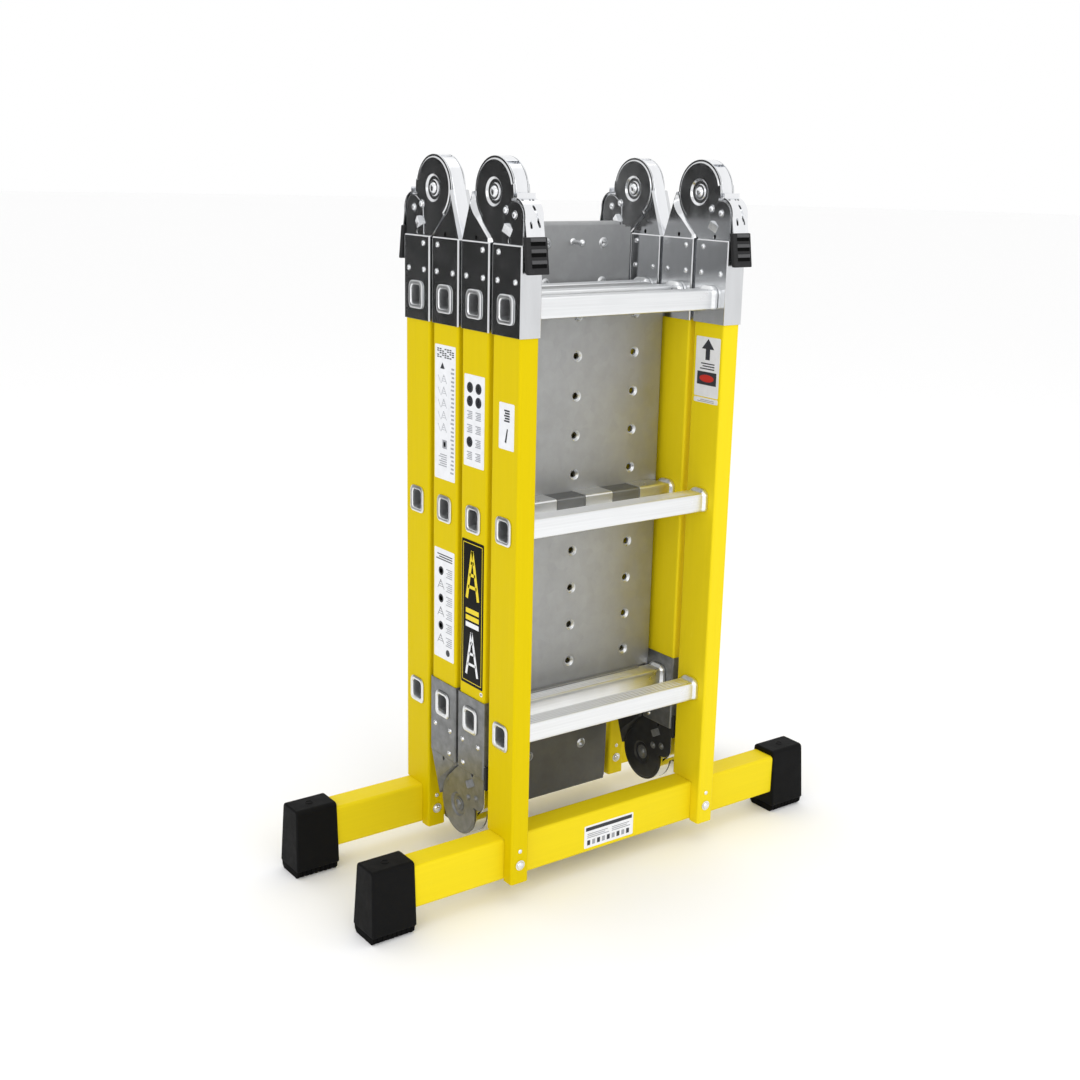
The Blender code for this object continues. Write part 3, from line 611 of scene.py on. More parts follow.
def add_boot(section, side, sign):
    node = f"boot_{section}_{side}"
    low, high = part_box(node)
    y = (low.y + high.y) / 2
    at = lambda a, b, depth: (depth, y + a, b)
    bar_low, bar_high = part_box(f"{section}_bar")
    half_top = (bar_high.y - bar_low.y) / 2 + 0.0014
    body = prism(boot_outline(half_top, 0.0262, 0.0105, high.z, 0.0030), low.x, high.x, at)
    body = flared(softened(body, 0.0042, 4, 50), sign, low.x if sign < 0 else high.x, high.z)
    piece(f"{node}_body", body, "boot", section, replaces=(node,))
    # The sole takes the darker black look: painted shade.
    piece(f"{node}_sole", softened(make_sole(low.x, high.x, y), 0.0004), "sole", section)
    rim = [(0.0055, -0.0004), (0.0055, 0.0003), (0.0046, 0.0007), (0.0038, 0.0003), (0.0038, -0.0004)]
    top = lambda a, b, depth: ((low.x + high.x) / 2 + a, y + b, high.z + depth)
    piece(f"{node}_gate_mark", turned(rim, top, closed=True), "boot", section)


def add_boots():
    for section in OUTER_SECTIONS:
        for side, sign in SIDES.items():
            add_boot(section, side, sign)


# ---- rungs

RUNG_TOP_GROOVES = 5
GROOVE_PITCH = 0.0046
GROOVE_DEPTH = 0.0007
GROOVED_TOP = (radians(52), radians(128))
RUNG_HALF_HEIGHT = 0.0135


def section_reach(angle, half, radii, lift):
    """Distance from the rung's axis to a rounded rectangle's edge, along an angle."""
    direction = (cos(angle), sin(angle))
    near, far = 0.0, 0.05
    for _ in range(30):
        reach = (near + far) / 2
        y, z = abs(direction[0] * reach), direction[1] * reach - lift
        radius = radii[0] if z > 0 else radii[1]
        dy, dz = y - half[0] + radius, abs(z) - half[1] + radius
        outside = hypot(max(dy, 0), max(dz, 0)) + min(max(dy, dz), 0) - radius > 0
        near, far = (near, reach) if outside else (reach, far)
    return near


def rung_angles():
    """Angles of the section's points, and which of them lie in the top's grooves."""
    found = []
    for groove in range(RUNG_TOP_GROOVES):
        middle = (groove - (RUNG_TOP_GROOVES - 1) / 2) * GROOVE_PITCH
        for offset, deep in ((0.0011, False), (0.0007, True), (-0.0007, True), (-0.0011, False)):
            found.append((atan2(RUNG_HALF_HEIGHT, middle + offset), deep))
    rest = [radians(6 * i) for i in range(60)]
    found += [(a, False) for a in rest if not GROOVED_TOP[0] < a < GROOVED_TOP[1]]
    return sorted(found)


def make_rung(outer_face):
    """Hollow rung: grooved top, a collar that bulges up inside each rail and a rolled end outside it."""
    angles = rung_angles()
    body = ((0.0140, RUNG_HALF_HEIGHT), (0.0028, 0.0034), 0.0)
    half_collar = ((0.0154, 0.0148), (0.0075, 0.0042), 0.0012)
    collar = ((0.0170, 0.0158), (0.0110, 0.0052), 0.0020)
    neck = ((0.0120, 0.0130), (0.004, 0.004), 0.0)
    ring = ((0.0172, 0.0184), (0.0095, 0.0066), 0.0)
    ring_soft = ((0.0158, 0.0170), (0.0085, 0.0055), 0.0)
    lip = ((0.0140, 0.0152), (0.0072, 0.0048), 0.0)
    lip_soft = ((0.0124, 0.0138), (0.0064, 0.0042), 0.0)
    mouth = ((0.0112, 0.0128), (0.0060, 0.0040), 0.0)
    bore = ((0.0100, 0.0110), (0.004, 0.003), 0.0)
    inner = 2 * RAIL_X - outer_face - TOUCH
    outer = outer_face + TOUCH
    end = outer + 0.0023
    stations = (
        (inner - 0.0105, body), (inner - 0.0085, body), (inner - 0.0065, half_collar),
        (inner - 0.0045, collar), (inner - 0.0008, collar), (inner, half_collar),
        (inner + 0.0002, neck), (outer - 0.0002, neck), (outer, ring_soft),
        (outer + 0.0004, ring), (outer + 0.0013, ring), (end - 0.0002, ring_soft),
        (end, lip), (end - 0.0003, lip_soft), (end - 0.0016, mouth), (end - 0.0120, bore),
    )

    def points(x, form, depth):
        half, radii, lift = form
        ring_points = []
        for angle, deep in angles:
            reach = section_reach(angle, half, radii, lift)
            y, z = reach * cos(angle), reach * sin(angle)
            ring_points.append((x, y, z - (depth if deep else 0)))
        return ring_points

    right = [points(*station, 0 if i else GROOVE_DEPTH) for i, station in enumerate(stations)]
    left = [[(-x, y, z) for x, y, z in ring_points] for ring_points in reversed(right)]
    return loft(left + right, closed=True)


def add_rungs():
    meshes = {}
    for section in SECTIONS:
        for level in LEVELS:
            node = f"{section}_rung_{level}"
            in_sleeve = level == "top" or (level == "low" and section.startswith("mid"))
            face = RAIL_X + (SLEEVE_HALF_WIDTH if in_sleeve else RAIL_HALF_WIDTH)
            if in_sleeve not in meshes:
                meshes[in_sleeve] = make_rung(face)
            place = (0, SECTION_Y[section], RUNG_Z[level])
            piece(f"{node}_tube", meshes[in_sleeve], "rung", section, place, (node,))


# ---- hinges

NEAR = HALF_PITCH - SLEEVE_HALF_DEPTH + 0.0008
FAR = HALF_PITCH + SLEEVE_HALF_DEPTH - 0.0008
TONGUE_END = SLEEVE_EDGE - 0.020
DISH_RADIUS = 0.0176
DISH_DEPTH = 0.0024
RIM_STEP = 0.0012
PROUD = 0.002
NECK_STEPS = 16
NOTCHES = ((56, 4.0), (108, 2.5))
NOTCH_DEPTH = 0.005
SERVICE_HOLE = ((0.0, 0.0006), 0.0024)
SERVICE_HOLE_FLOOR = ((0.0, 0.0006), 0.00235)
OUTER_SERVICE_HOLE = (0.036, -0.0572)
INNER_SERVICE_HOLE = (-0.034, -0.0572)


def between(sign, low, high):
    """Two depths on one side of a hinge, in rising order."""
    return sorted((sign * low, sign * high))


def outer_plate_outline():
    """Disc, knuckle and neck of an outer plate, with a small step where the knuckle starts."""
    reach = hypot(*KNUCKLE)
    along = (DISC_RADIUS**2 - KNUCKLE_RADIUS**2 + reach**2) / (2 * reach)
    across = sqrt(DISC_RADIUS**2 - along**2)
    unit = (KNUCKLE[0] / reach, KNUCKLE[1] / reach)
    meet = (along * unit[0] - across * unit[1], along * unit[1] + across * unit[0])
    knuckle_end = bearing(meet[0] - KNUCKLE[0], meet[1] - KNUCKLE[1])
    disc_start = bearing(*meet)
    disc_end = disc_tangent((NEAR, SLEEVE_EDGE))
    step = [polar(DISC_RADIUS - 0.0026, disc_start), polar(DISC_RADIUS - 0.0026, disc_start + 4)]
    return (
        [(NEAR, TONGUE_END), (FAR, TONGUE_END)]
        + arc(KNUCKLE, KNUCKLE_RADIUS, 0, knuckle_end)[:-1]
        + step
        + arc((0, 0), DISC_RADIUS, disc_start + 4.5, disc_end)
        + [(NEAR, SLEEVE_EDGE)]
    )


def core_outline():
    """Disc and neck of the inner half's thick plate, with the locking notches in its rim."""
    far = (-FAR, SLEEVE_EDGE)
    end = disc_tangent(far)
    start = -degrees(acos(-NEAR / DISC_RADIUS))
    edge = []
    for notch, half in NOTCHES:
        edge += arc((0, 0), DISC_RADIUS, start, notch - half)
        edge += [polar(DISC_RADIUS - NOTCH_DEPTH, side) for side in (notch - half, notch + half)]
        start = notch + half
    edge += arc((0, 0), DISC_RADIUS, start, end)
    return edge + [far, (-FAR, TONGUE_END), (-NEAR, TONGUE_END)]


def neck_outline(margin, bulge):
    """Raised neck beside the disc; bulge moves its edge away from the disc in the middle."""
    far = (-FAR, SLEEVE_EDGE)
    base = DISC_RADIUS + margin
    low = disc_tangent((NEAR, SLEEVE_EDGE))
    touch = disc_tangent(far)
    high = touch + degrees(acos(DISC_RADIUS / (base + 0.0016)))
    slope = radians(low)
    corner = polar(base, low)
    drop = (-NEAR - corner[0]) / -sin(slope)
    foot = (-NEAR - bulge * 0.5, corner[1] + drop * cos(slope))
    edge = []
    for i in range(NECK_STEPS + 1):
        share = i / NECK_STEPS
        angle = high + (low - high) * share
        out = base + bulge * sin(pi * (0.5 + 0.35 * share) * min(1.0, 2.5 * share + 0.12))
        side = cos(radians(angle - touch))
        if side > 0.1:
            out = min(out, max(DISC_RADIUS / side - 0.0016, base))
        edge.append(polar(out, angle))
    return [far, (-FAR, TONGUE_END), (-NEAR - bulge * 0.5, TONGUE_END), foot, *reversed(edge)]


def make_neck(plane, sign):
    """Pressed neck whose edge slopes from the disc up to the neck's own face."""
    bands = (
        (neck_outline(0.0010, 0.0), sign * (CORE_HALF - 0.0004)),
        (neck_outline(0.0011, 0.0002), sign * (CORE_HALF + 0.0008)),
        (neck_outline(0.0012, 0.0072), sign * (NECK_FACE - 0.0008)),
        (neck_outline(0.0014, 0.0082), sign * NECK_FACE),
    )
    return banded(bands, plane)


def slot_hole(plane, middle, half, radius, low, high):
    """Cutter for an oblong hole: half is the straight part's half vector."""
    angle = bearing(*half)
    first = arc((middle[0] + half[0], middle[1] + half[1]), radius, angle - 90, angle + 90, 20)
    second = arc((middle[0] - half[0], middle[1] - half[1]), radius, angle + 90, angle + 270, 20)
    return prism(first + second, low, high, plane)


def make_outer_plates(plane):
    """Two outer plates with their pressed dish, rivet hole, service hole and stepped rim."""
    plates = []
    for sign in (-1, 1):
        plate = prism(outer_plate_outline(), *between(sign, PLATE_BACK, PLATE_FACE), plane)
        face, floor = sign * PLATE_FACE, sign * (PLATE_FACE - DISH_DEPTH)
        proud = sign * (PLATE_FACE + PROUD)
        bevel = 0.0026
        wide = DISH_RADIUS + PROUD * (bevel / DISH_DEPTH)
        dish = [(0, floor), (DISH_RADIUS - bevel, floor), (DISH_RADIUS, face), (wide, proud), (0, proud)]
        hole = slot_hole(plane, OUTER_SERVICE_HOLE, *SERVICE_HOLE, *sorted((floor, proud)))
        levels = ((0.0030, PLATE_FACE - RIM_STEP), (0.0044, PLATE_FACE), (0.0075, PLATE_FACE + PROUD))
        outside = arc((0, 0), DISC_RADIUS + 0.004, 232, 14, 4)
        bands = []
        for inset, level in levels:
            bands.append((arc((0, 0), DISC_RADIUS - inset, 14, 232, 4) + outside, sign * level))
        cutters = [turned(dish, plane, sides=64), hole, banded(bands, plane)]
        plates.append(softened(combined(plate, cutters), 0.0004, 2, 33))
    return gathered(plates)


def stud(radius, height):
    """Profile of a domed stud on its collar."""
    collar = [(radius + 0.0016, -TOUCH), (radius + 0.0013, 0.0006), (radius + 0.0002, 0.0006)]
    return [(0, -TOUCH), *collar, *dome(radius, height, 0)[2:]]


def lock_tab(at):
    """Small tilted tab beside the lever."""
    turn = radians(-30)
    along, across = (cos(turn), sin(turn)), (-sin(turn), cos(turn))
    rings = []
    levels = ((-TOUCH, -TOUCH, 0.0), (0.0042, 0.0003, 0.0003), (0.0047, 0.0005, 0.0010))
    for depth_left, depth_right, shrink in levels:
        ring = []
        for a, b in ((-1, -1), (1, -1), (1, 1), (-1, 1)):
            half_a, half_b = 0.0070 - shrink, 0.0056 - shrink
            u = 0.034 + a * half_a * along[0] + b * half_b * across[0]
            w = -0.0445 + a * half_a * along[1] + b * half_b * across[1]
            ring.append(at(u, w, depth_left if a < 0 else depth_right))
        rings.append(ring)
    return loft(rings)


def make_relief(plane):
    """Studs and lock tab, and the knuckle covers, on the plates' outer faces."""
    parts, covers = [], []
    for sign in (-1, 1):
        at = lambda u, w, depth: plane(u, w, sign * (PLATE_FACE + 0.0006 + depth))
        parts.append(turned(stud(0.0040, 0.0026), at, (0.027, -0.021), 24))
        parts.append(turned(stud(0.0040, 0.0022), at, (0.046, -0.026), 24))
        parts.append(lock_tab(at))
        foot = SLEEVE_EDGE + 0.0016
        knuckle = arc(KNUCKLE, KNUCKLE_RADIUS - 0.0012, 0, 118, 8)
        cover = [(FAR - 0.0016, foot), *knuckle, (0.0235, -0.0215), (0.0215, foot)]
        low, high = between(sign, PLATE_FACE - TOUCH, PLATE_FACE + 0.0007)
        hole = slot_hole(plane, OUTER_SERVICE_HOLE, *SERVICE_HOLE, low - 0.001, high + 0.001)
        covers.append(softened(combined(prism(cover, low, high, plane), [hole]), 0.0005))
    return gathered(parts), gathered(covers)


def hole_shade_floors(middle, depth, plane):
    """Thin black discs in a service hole, on both sides: painted shade for the hole's dark depth."""
    ends = [between(sign, depth, depth + 0.0003) for sign in (-1, 1)]
    return gathered([slot_hole(plane, middle, *SERVICE_HOLE_FLOOR, *pair) for pair in ends])


def make_core(plane):
    """Thick inner plate and its two pressed necks, each with a service hole."""
    core = softened(prism(core_outline(), -CORE_HALF, CORE_HALF, plane), 0.0008)
    necks = []
    for sign in (-1, 1):
        ends = between(sign, NECK_FACE - 0.003, NECK_FACE + 0.003)
        hole = slot_hole(plane, INNER_SERVICE_HOLE, *SERVICE_HOLE, *ends)
        necks.append(combined(softened(make_neck(plane, sign), 0.0003), [hole]))
    return core, gathered(necks)


def make_sleeve(centre_u, signs):
    """Folded sheet round the rail's end, and the block that closes it, set a little below its edge."""
    plane = lambda x, y, w: (x, signs[0] * centre_u + y, signs[1] * w)
    width, depth = 2 * SLEEVE_HALF_WIDTH, 2 * SLEEVE_HALF_DEPTH
    outer = rounded(width, depth, 0.0026)
    lip = rounded(width - 0.0020, depth - 0.0020, 0.0018)
    inner_size = (2 * (SLEEVE_HALF_WIDTH - SHEET), 2 * (SLEEVE_HALF_DEPTH - SHEET))
    inner = rounded(*inner_size, 0.0013)
    shoulder, edge = SLEEVE_EDGE - 0.0006, SLEEVE_EDGE + 0.0010
    bands = ((inner, SLEEVE_END), (outer, SLEEVE_END), (outer, shoulder), (lip, edge), (inner, edge))
    hole = rung_hole(signs[0] * centre_u, -signs[1] * RUNG_BELOW_PIVOT)
    sleeve = combined(banded(bands, plane, True), [hole])
    block_outline = rounded(inner_size[0] - 0.0002, inner_size[1] - 0.0002, 0.0026)
    block = prism(block_outline, SLEEVE_EDGE - 0.040, SLEEVE_EDGE - 0.0022, plane)
    return softened(sleeve, 0.0004), block


def make_rivets(centre_u, plane):
    """Three domed rivets on each wide face of a sleeve: two in a row and one nearer the hinge."""
    toward = -1 if centre_u > 0 else 1
    flange = [(0, -TOUCH), (0.0040, -TOUCH), (0.0038, 0.0004), (0.0031, 0.0006)]
    profile = flange + dome(0.0031, 0.0022, 0)[2:]
    heads = []
    for sign in (-1, 1):
        at = lambda u, w, depth: plane(u, w, sign * (SLEEVE_HALF_WIDTH + depth))
        for offset, w in ((-0.0190, -0.105), (0.0190, -0.105), (toward * 0.0175, -0.0710)):
            heads.append(turned(profile, at, (centre_u + offset, w), 20))
    return gathered(heads)


PIVOT_HEAD = (
    (0.0048, -0.004), (0.0048, 0.0001), (0.0106, 0.0001), (0.0106, 0.0008), (0.0098, 0.0014),
    (0.0070, 0.0016), (0.0066, 0.0020), (0.0063, 0.0029), (0.0052, 0.0040), (0.0036, 0.0046),
    (0.0018, 0.0049), (0, 0.0050),
)


def make_pivot():
    """Rivet with a stepped head on each side, sitting in the plates' dishes."""
    half = [(radius, PLATE_FACE - DISH_DEPTH + rise) for radius, rise in PIVOT_HEAD]
    return turned([(radius, -depth) for radius, depth in reversed(half)] + half, plane_x, sides=36)


def lever_outline(sheet, clearance, end):
    """Curved sheet that wraps the knuckle and runs straight to its end."""
    inner = KNUCKLE_RADIUS + clearance
    outer = inner + sheet
    middle = (inner + outer) / 2
    last = (KNUCKLE[0] + middle, KNUCKLE[1])
    tilt = -bearing(last[1] - end[1], end[0] - last[0])
    across = Vector(polar(sheet / 2, tilt))
    tip = Vector(end)
    rim = [(KNUCKLE[0] + x, KNUCKLE[1] + w + 0.006) for x, w in (polar(inner, 78), polar(outer, 78))]
    outside = arc(KNUCKLE, outer, 78, tilt)
    inside = arc(KNUCKLE, inner, tilt, 78)
    return [*rim, *outside, tuple(tip + across), tuple(tip - across), *inside]


LEVERS = {
    "top": (0.002, 0.0015, (0.0760, -0.0755)),
    "bottom": (0.0012, 0.0013, (0.0679, -0.0820)),
}
LEVER_SLOTS = (((0.0040, -0.0270), (0.0032, -0.0115)), ((-0.0052, -0.0360), (0.0002, -0.0035)))
PIN_ENDS = ((-0.0098, 0.0015), (0.0010, 0.0012), (0.0058, 0.0015))


def make_lever(kind, plane):
    """Plated lever with two slots and three pin ends in its face, and the tongue that holds it."""
    sheet, clearance, end = LEVERS[kind]
    channel = prism(lever_outline(sheet, clearance, end), -LEVER_HALF_WIDTH, LEVER_HALF_WIDTH, plane)
    face = lambda x, w, u: plane(u, w, x)
    cutters = [slot_hole(face, middle, half, 0.0016, 0.055, 0.090) for middle, half in LEVER_SLOTS]
    channel = softened(combined(channel, cutters), 0.0004)
    reach = KNUCKLE_RADIUS + clearance + 0.0002
    half_angle = degrees(asin(0.008 / reach))
    tongue = arc(KNUCKLE, 0.008, 90, 270) + arc(KNUCKLE, reach, -half_angle, half_angle)
    lug = softened(prism(tongue, -0.006, 0.006, plane), 0.0006)
    slant = polar(1.0, 62)
    seat = KNUCKLE_RADIUS + clearance + sheet - 0.0003

    def on_bend(a, b, depth):
        reach = seat + depth
        u = KNUCKLE[0] + reach * slant[0] - b * slant[1]
        w = KNUCKLE[1] + reach * slant[1] + b * slant[0]
        return plane(u, w, a)

    pins = []
    for x, radius in PIN_ENDS:
        end = [(0, -0.0004), (radius, -0.0004), (radius, 0.0008), (0, 0.0010)]
        pins.append(turned(end, on_bend, (x, 0.0), 16))
    return gathered([channel, lug]), gathered(pins)


def make_top_grip(plane):
    """Moulded grip over the lever's end: body with three deep grooves, a pale rib above each one, and a black
    strip of painted shade in each groove's floor.
    """
    top, bottom = -0.0505, -0.0945
    lean = (0.0812 - 0.0748) / (bottom - top)
    surface = lambda w: 0.0748 + (w - top) * lean
    across = (-0.0095, 0.0125)
    face = [(0.0672, top), (surface(top), top), (surface(bottom), bottom), (0.0748, bottom)]
    body = softened(prism(face, -0.0158, 0.0158, plane), 0.0014, 3)
    grooves, shade_floors, ribs = [], [], []
    for row in range(3):
        w = top - 0.0030 - 0.0130 * row
        cut = lambda inner, outer: [
            (surface(height) + depth, height)
            for depth, height in box_outline(inner, w - 0.0072, outer, w - 0.0026)
        ]
        grooves.append(prism(cut(-0.0009, 0.002), *across, plane))
        # Painted shade: a thin black strip laid in the groove's floor.
        shade_floors.append(prism(cut(-0.0011, -0.0008), *across, plane))
        edge = ((-0.002, 0.0020), (0.0004, 0.0020), (0.0013, -0.0010), (0.0012, -0.0022), (-0.002, -0.0024))
        rib = [(surface(w) + out, w + up) for out, up in edge]
        ribs.append(softened(prism(rib, *across, plane), 0.0004))
    body = softened(combined(body, [gathered(grooves)]), 0.0003)
    return body, gathered(ribs), gathered(shade_floors)


def make_bottom_grip(plane):
    """Flat grip on the lever's face, with three bars on a black strip of painted shade."""
    outline = [(0.0686, -0.048), (0.0686, -0.081), (0.0726, -0.081), (0.0726, -0.048)]
    body = softened(prism(outline, -0.0148, 0.0148, plane), 0.0008, 3)
    bars = []
    for row in range(3):
        w = -0.055 - row * 0.0085
        outline = [(0.0700, w), (0.0729, w - 0.0006), (0.0729, w - 0.0030), (0.0700, w - 0.0036)]
        bars.append(prism(outline, -0.0110, 0.0110, plane))
    # Painted shade: a black strip behind the bars.
    floor = prism(box_outline(0.0722, -0.0525, 0.0728, -0.0765), -0.0112, 0.0112, plane)
    return body, gathered(bars), floor


def add_hinge(name):
    outer, inner, signs = HINGES[name]
    plane = hinge_plane(signs)
    bottom = name == "middle"
    plates = make_outer_plates(plane)
    relief, covers = make_relief(plane)
    core, necks = make_core(plane)
    pivot = make_pivot()
    lever, pins = make_lever("bottom" if bottom else "top", plane)
    # grooves holds the grip's black strips of painted shade.
    grip, bars, grooves = (make_bottom_grip if bottom else make_top_grip)(plane)
    # The middle hinge takes the rougher, darker plating copy, whose darker colour is painted shade.
    sleeve_look, relief_look = ("hinge_dull", "hinge_dull") if bottom else ("hinge", "rivet")
    halves = []
    for part, body, u, hole, depth in (
        ("outer", outer, HALF_PITCH, OUTER_SERVICE_HOLE, PLATE_FACE - DISH_DEPTH + 0.0001),
        ("inner", inner, -HALF_PITCH, INNER_SERVICE_HOLE, NECK_FACE - 0.0029),
    ):
        sleeve, block = make_sleeve(u, signs)
        halves.append((part, body, sleeve, block, make_rivets(u, plane), hole_shade_floors(hole, depth, plane)))
    for side in SIDES:
        # The right middle hinge's plates, covers and necks take the near-black copy: painted dark reflection.
        sheet_look = "hinge_dark" if (name, side) == ("middle", "right") else sleeve_look
        place = centre(f"hinge_{name}_pin_{side}")
        swing = f"lever_{name}_{side}"
        for part, body, sleeve, block, rivets, shade_floors in halves:
            node = f"hinge_{name}_{part}_{side}"
            piece(f"{node}_sleeve", sleeve, sleeve_look, body, place, (node,))
            piece(f"{node}_block", block, sleeve_look, body, place)
            piece(f"{node}_rivets", rivets, "rivet", body, place)
            # Black discs in the service holes: painted shade.
            piece(f"{node}_hole_shade_floors", shade_floors, "sole", body, place)
        for part, mesh, look, body, node in (
            ("plates", plates, sheet_look, outer, "outer"),
            ("studs", relief, relief_look, outer, None),
            ("covers", covers, sheet_look, outer, None),
            ("core", core, "chrome", inner, "inner"),
            ("necks", necks, sheet_look, inner, None),
            ("pivot", pivot, relief_look, outer, "pin"),
            ("lever_plate", lever, "chrome", swing, "lever"),
            ("lever_pins", pins, "hook_strip", swing, None),
            ("grip_body", grip, "grip", swing, "grip"),
            ("grip_bars", bars, "grip_rib", swing, None),
            # The grip's black strips of painted shade.
            ("grip_grooves", grooves, "sole", swing, None),
        ):
            replaced = (f"hinge_{name}_{node}_{side}",) if node else ()
            piece(f"hinge_{name}_{part}_{side}", mesh, look, body, place, replaced)


# ---- platform plates

PLATE_HALF_WIDTH = 0.1445
PLATE_SHEET = 0.002
FLANGE = 0.014
BEND = 0.0026
HOLE_COLUMNS = (-0.104, -0.005, 0.094)
HOLE_PITCH = 0.0544
END_GAP = 0.006
SHORT_PLATE_Y = -0.020
HOOK_ROW_Z = 0.5308
TAB_WIDTH = 0.048
RAISED_RIM = (
    (0.0082, 0.0003), (0.0078, -0.0001), (0.0068, -0.0007), (0.0060, -0.0016), (0.0053, -0.0021),
    (0.0046, -0.0021), (0.0041, -0.0014), (0.0040, 0.0), (0.0038, 0.0058), (0.0045, 0.0060), (0.0047, 0.0030),
)
SUNK_RIM = (
    (0.0080, 0.0004), (0.0077, 0.0), (0.0070, 0.0004), (0.0048, 0.0026), (0.0042, 0.0036),
    (0.0040, 0.0060), (0.0046, 0.0060), (0.0052, 0.0036), (0.0074, 0.0018), (0.0080, 0.0016),
)


def bent_profile(leg_a, leg_b, sheet=PLATE_SHEET, bend=BEND):
    """L section with a rounded bend at the origin: leg_a along +a, leg_b along +b."""
    outside = arc((bend, bend), bend, 180, 270, 15)
    inside = arc((bend, bend), bend - sheet, 270, 180, 15)
    return [(0, leg_b), *outside, (leg_a, 0), (leg_a, sheet), *inside, (sheet, leg_b)]


def plate_web(length, notch, top_bend):
    """Face of a plate as an (X, Z) outline, with its two upper corners cut back."""
    half = PLATE_HALF_WIDTH - BEND
    inset, shoulder, top = half - 0.010, length - notch, length - top_bend
    right = [(half, 0.001), (half, shoulder), (inset, shoulder), (inset, top)]
    return [(-half, 0.001), *right, (-inset, top), (-inset, shoulder), (-half, shoulder)]


def make_tray(length, notch, hole_rows, hole_radius, top_bend):
    """Folded plate with its face at Y = 0, flanges behind it, and its holes."""
    web = prism(plate_web(length, notch, top_bend), 0, PLATE_SHEET, plane_y)
    flanges = []
    for sign in (-1, 1):
        side = lambda a, b, z: (sign * (PLATE_HALF_WIDTH - a), b, z)
        flanges.append(prism(bent_profile(0.006, FLANGE), END_GAP, length - notch - END_GAP, side))
    half_end = PLATE_HALF_WIDTH - BEND - 0.020
    over = lambda a, b, x: (x, b, length - a)
    under = lambda a, b, x: (x, b, a)
    flanges.append(prism(bent_profile(0.010, FLANGE, bend=top_bend), -half_end, half_end, over))
    flanges.append(prism(bent_profile(0.006, FLANGE), -half_end, half_end, under))
    plate = combined(web, flanges, "UNION")
    drill = drum(hole_radius, -0.001, 0.004)
    drills = [turned(drill, plane_y, (x, z), 18) for x in HOLE_COLUMNS for z in hole_rows]
    return combined(plate, [gathered(drills)])


def hole_rims(hole_rows, profile):
    """Rim pressed round each hole of a plate."""
    places = [(x, z) for x in HOLE_COLUMNS for z in hole_rows]
    return gathered([turned(profile, plane_y, place, 20, closed=True) for place in places])


def pressed_rings(places):
    ring = [(0.0112, 0.0003), (0.0108, -0.0003), (0.0102, -0.0004), (0.0096, -0.0003), (0.0092, 0.0003)]
    return gathered([turned(ring, plane_y, place, 36, closed=True) for place in places])


def hook_units():
    """Bright hook tabs, and the darker strips between them, whose dark grey is painted shade, over the mid
    front section's middle rung.
    """
    face_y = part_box("platform_plate_short")[0].y
    top = RUNG_Z["middle"] + RUNG_HALF_HEIGHT + 0.0023
    back_y = SHORT_PLATE_Y + 0.0005

    def profile(front, lid, drop, sheet):
        """Section in (Y, Z): from the plate's face over the rung and down its front."""
        bend = 0.0030
        outside = arc((front + bend, lid - bend), bend, 90, 180, 15)
        inside = arc((front + bend, lid - bend), bend - sheet, 180, 90, 15)
        return [(back_y, lid), *outside, (front, drop), (front + sheet, drop), *inside, (back_y, lid - sheet)]

    tabs, strips = [], []
    for place in range(3):
        start = HOLE_COLUMNS[0] + 2 * TAB_WIDTH * place
        tab = profile(face_y, top, top - 0.018, 0.0018)
        tabs.append(prism(tab, start, start + TAB_WIDTH - 0.0012, plane_x))
        before = start - (TAB_WIDTH if place else 0.034)
        # Painted shade: the strip's darker grey stands for the shade between the tabs.
        strip = profile(face_y + 0.0012, top - 0.0006, top - 0.0165, 0.0009)
        strips.append(prism(strip, before, start - 0.0004, plane_x))
    return softened(gathered(tabs), 0.0004), softened(gathered(strips), 0.0003)


def add_short_plate():
    name = "platform_plate_short"
    low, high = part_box(name)
    rows = [0.0322 + HOLE_PITCH * i for i in range(10)]
    rows = [z for z in rows if abs(z + low.z - HOOK_ROW_Z) > 0.012]
    tray = make_tray(high.z - low.z, 0.006, rows, 0.0076, BEND)
    _, middle, right = HOLE_COLUMNS
    rings = pressed_rings([(middle, rows[0]), (middle, rows[4]), (right, rows[0])])
    edge = [(-0.0275, 0.0), (-0.0275, 0.0012), (-0.0270, 0.0018), (-0.0204, 0.0018), (-0.0204, 0.0)]
    foot = softened(prism([(y, low.z + z) for y, z in edge], -0.120, 0.120, plane_x), 0.0003)
    tabs, strips = hook_units()
    place = (0, SHORT_PLATE_Y, low.z)
    piece(f"{name}_sheet", tray, "plate", "short_plate", place, (name,))
    piece(f"{name}_rims", hole_rims(rows, SUNK_RIM), "plate_rim", "short_plate", place)
    piece(f"{name}_rings", rings, "plate", "short_plate", place)
    piece(f"{name}_foot", foot, "plate", "short_plate")
    piece("platform_hook_tabs", tabs, "hook", "short_plate")
    piece("platform_hook_strips", strips, "hook_strip", "short_plate")


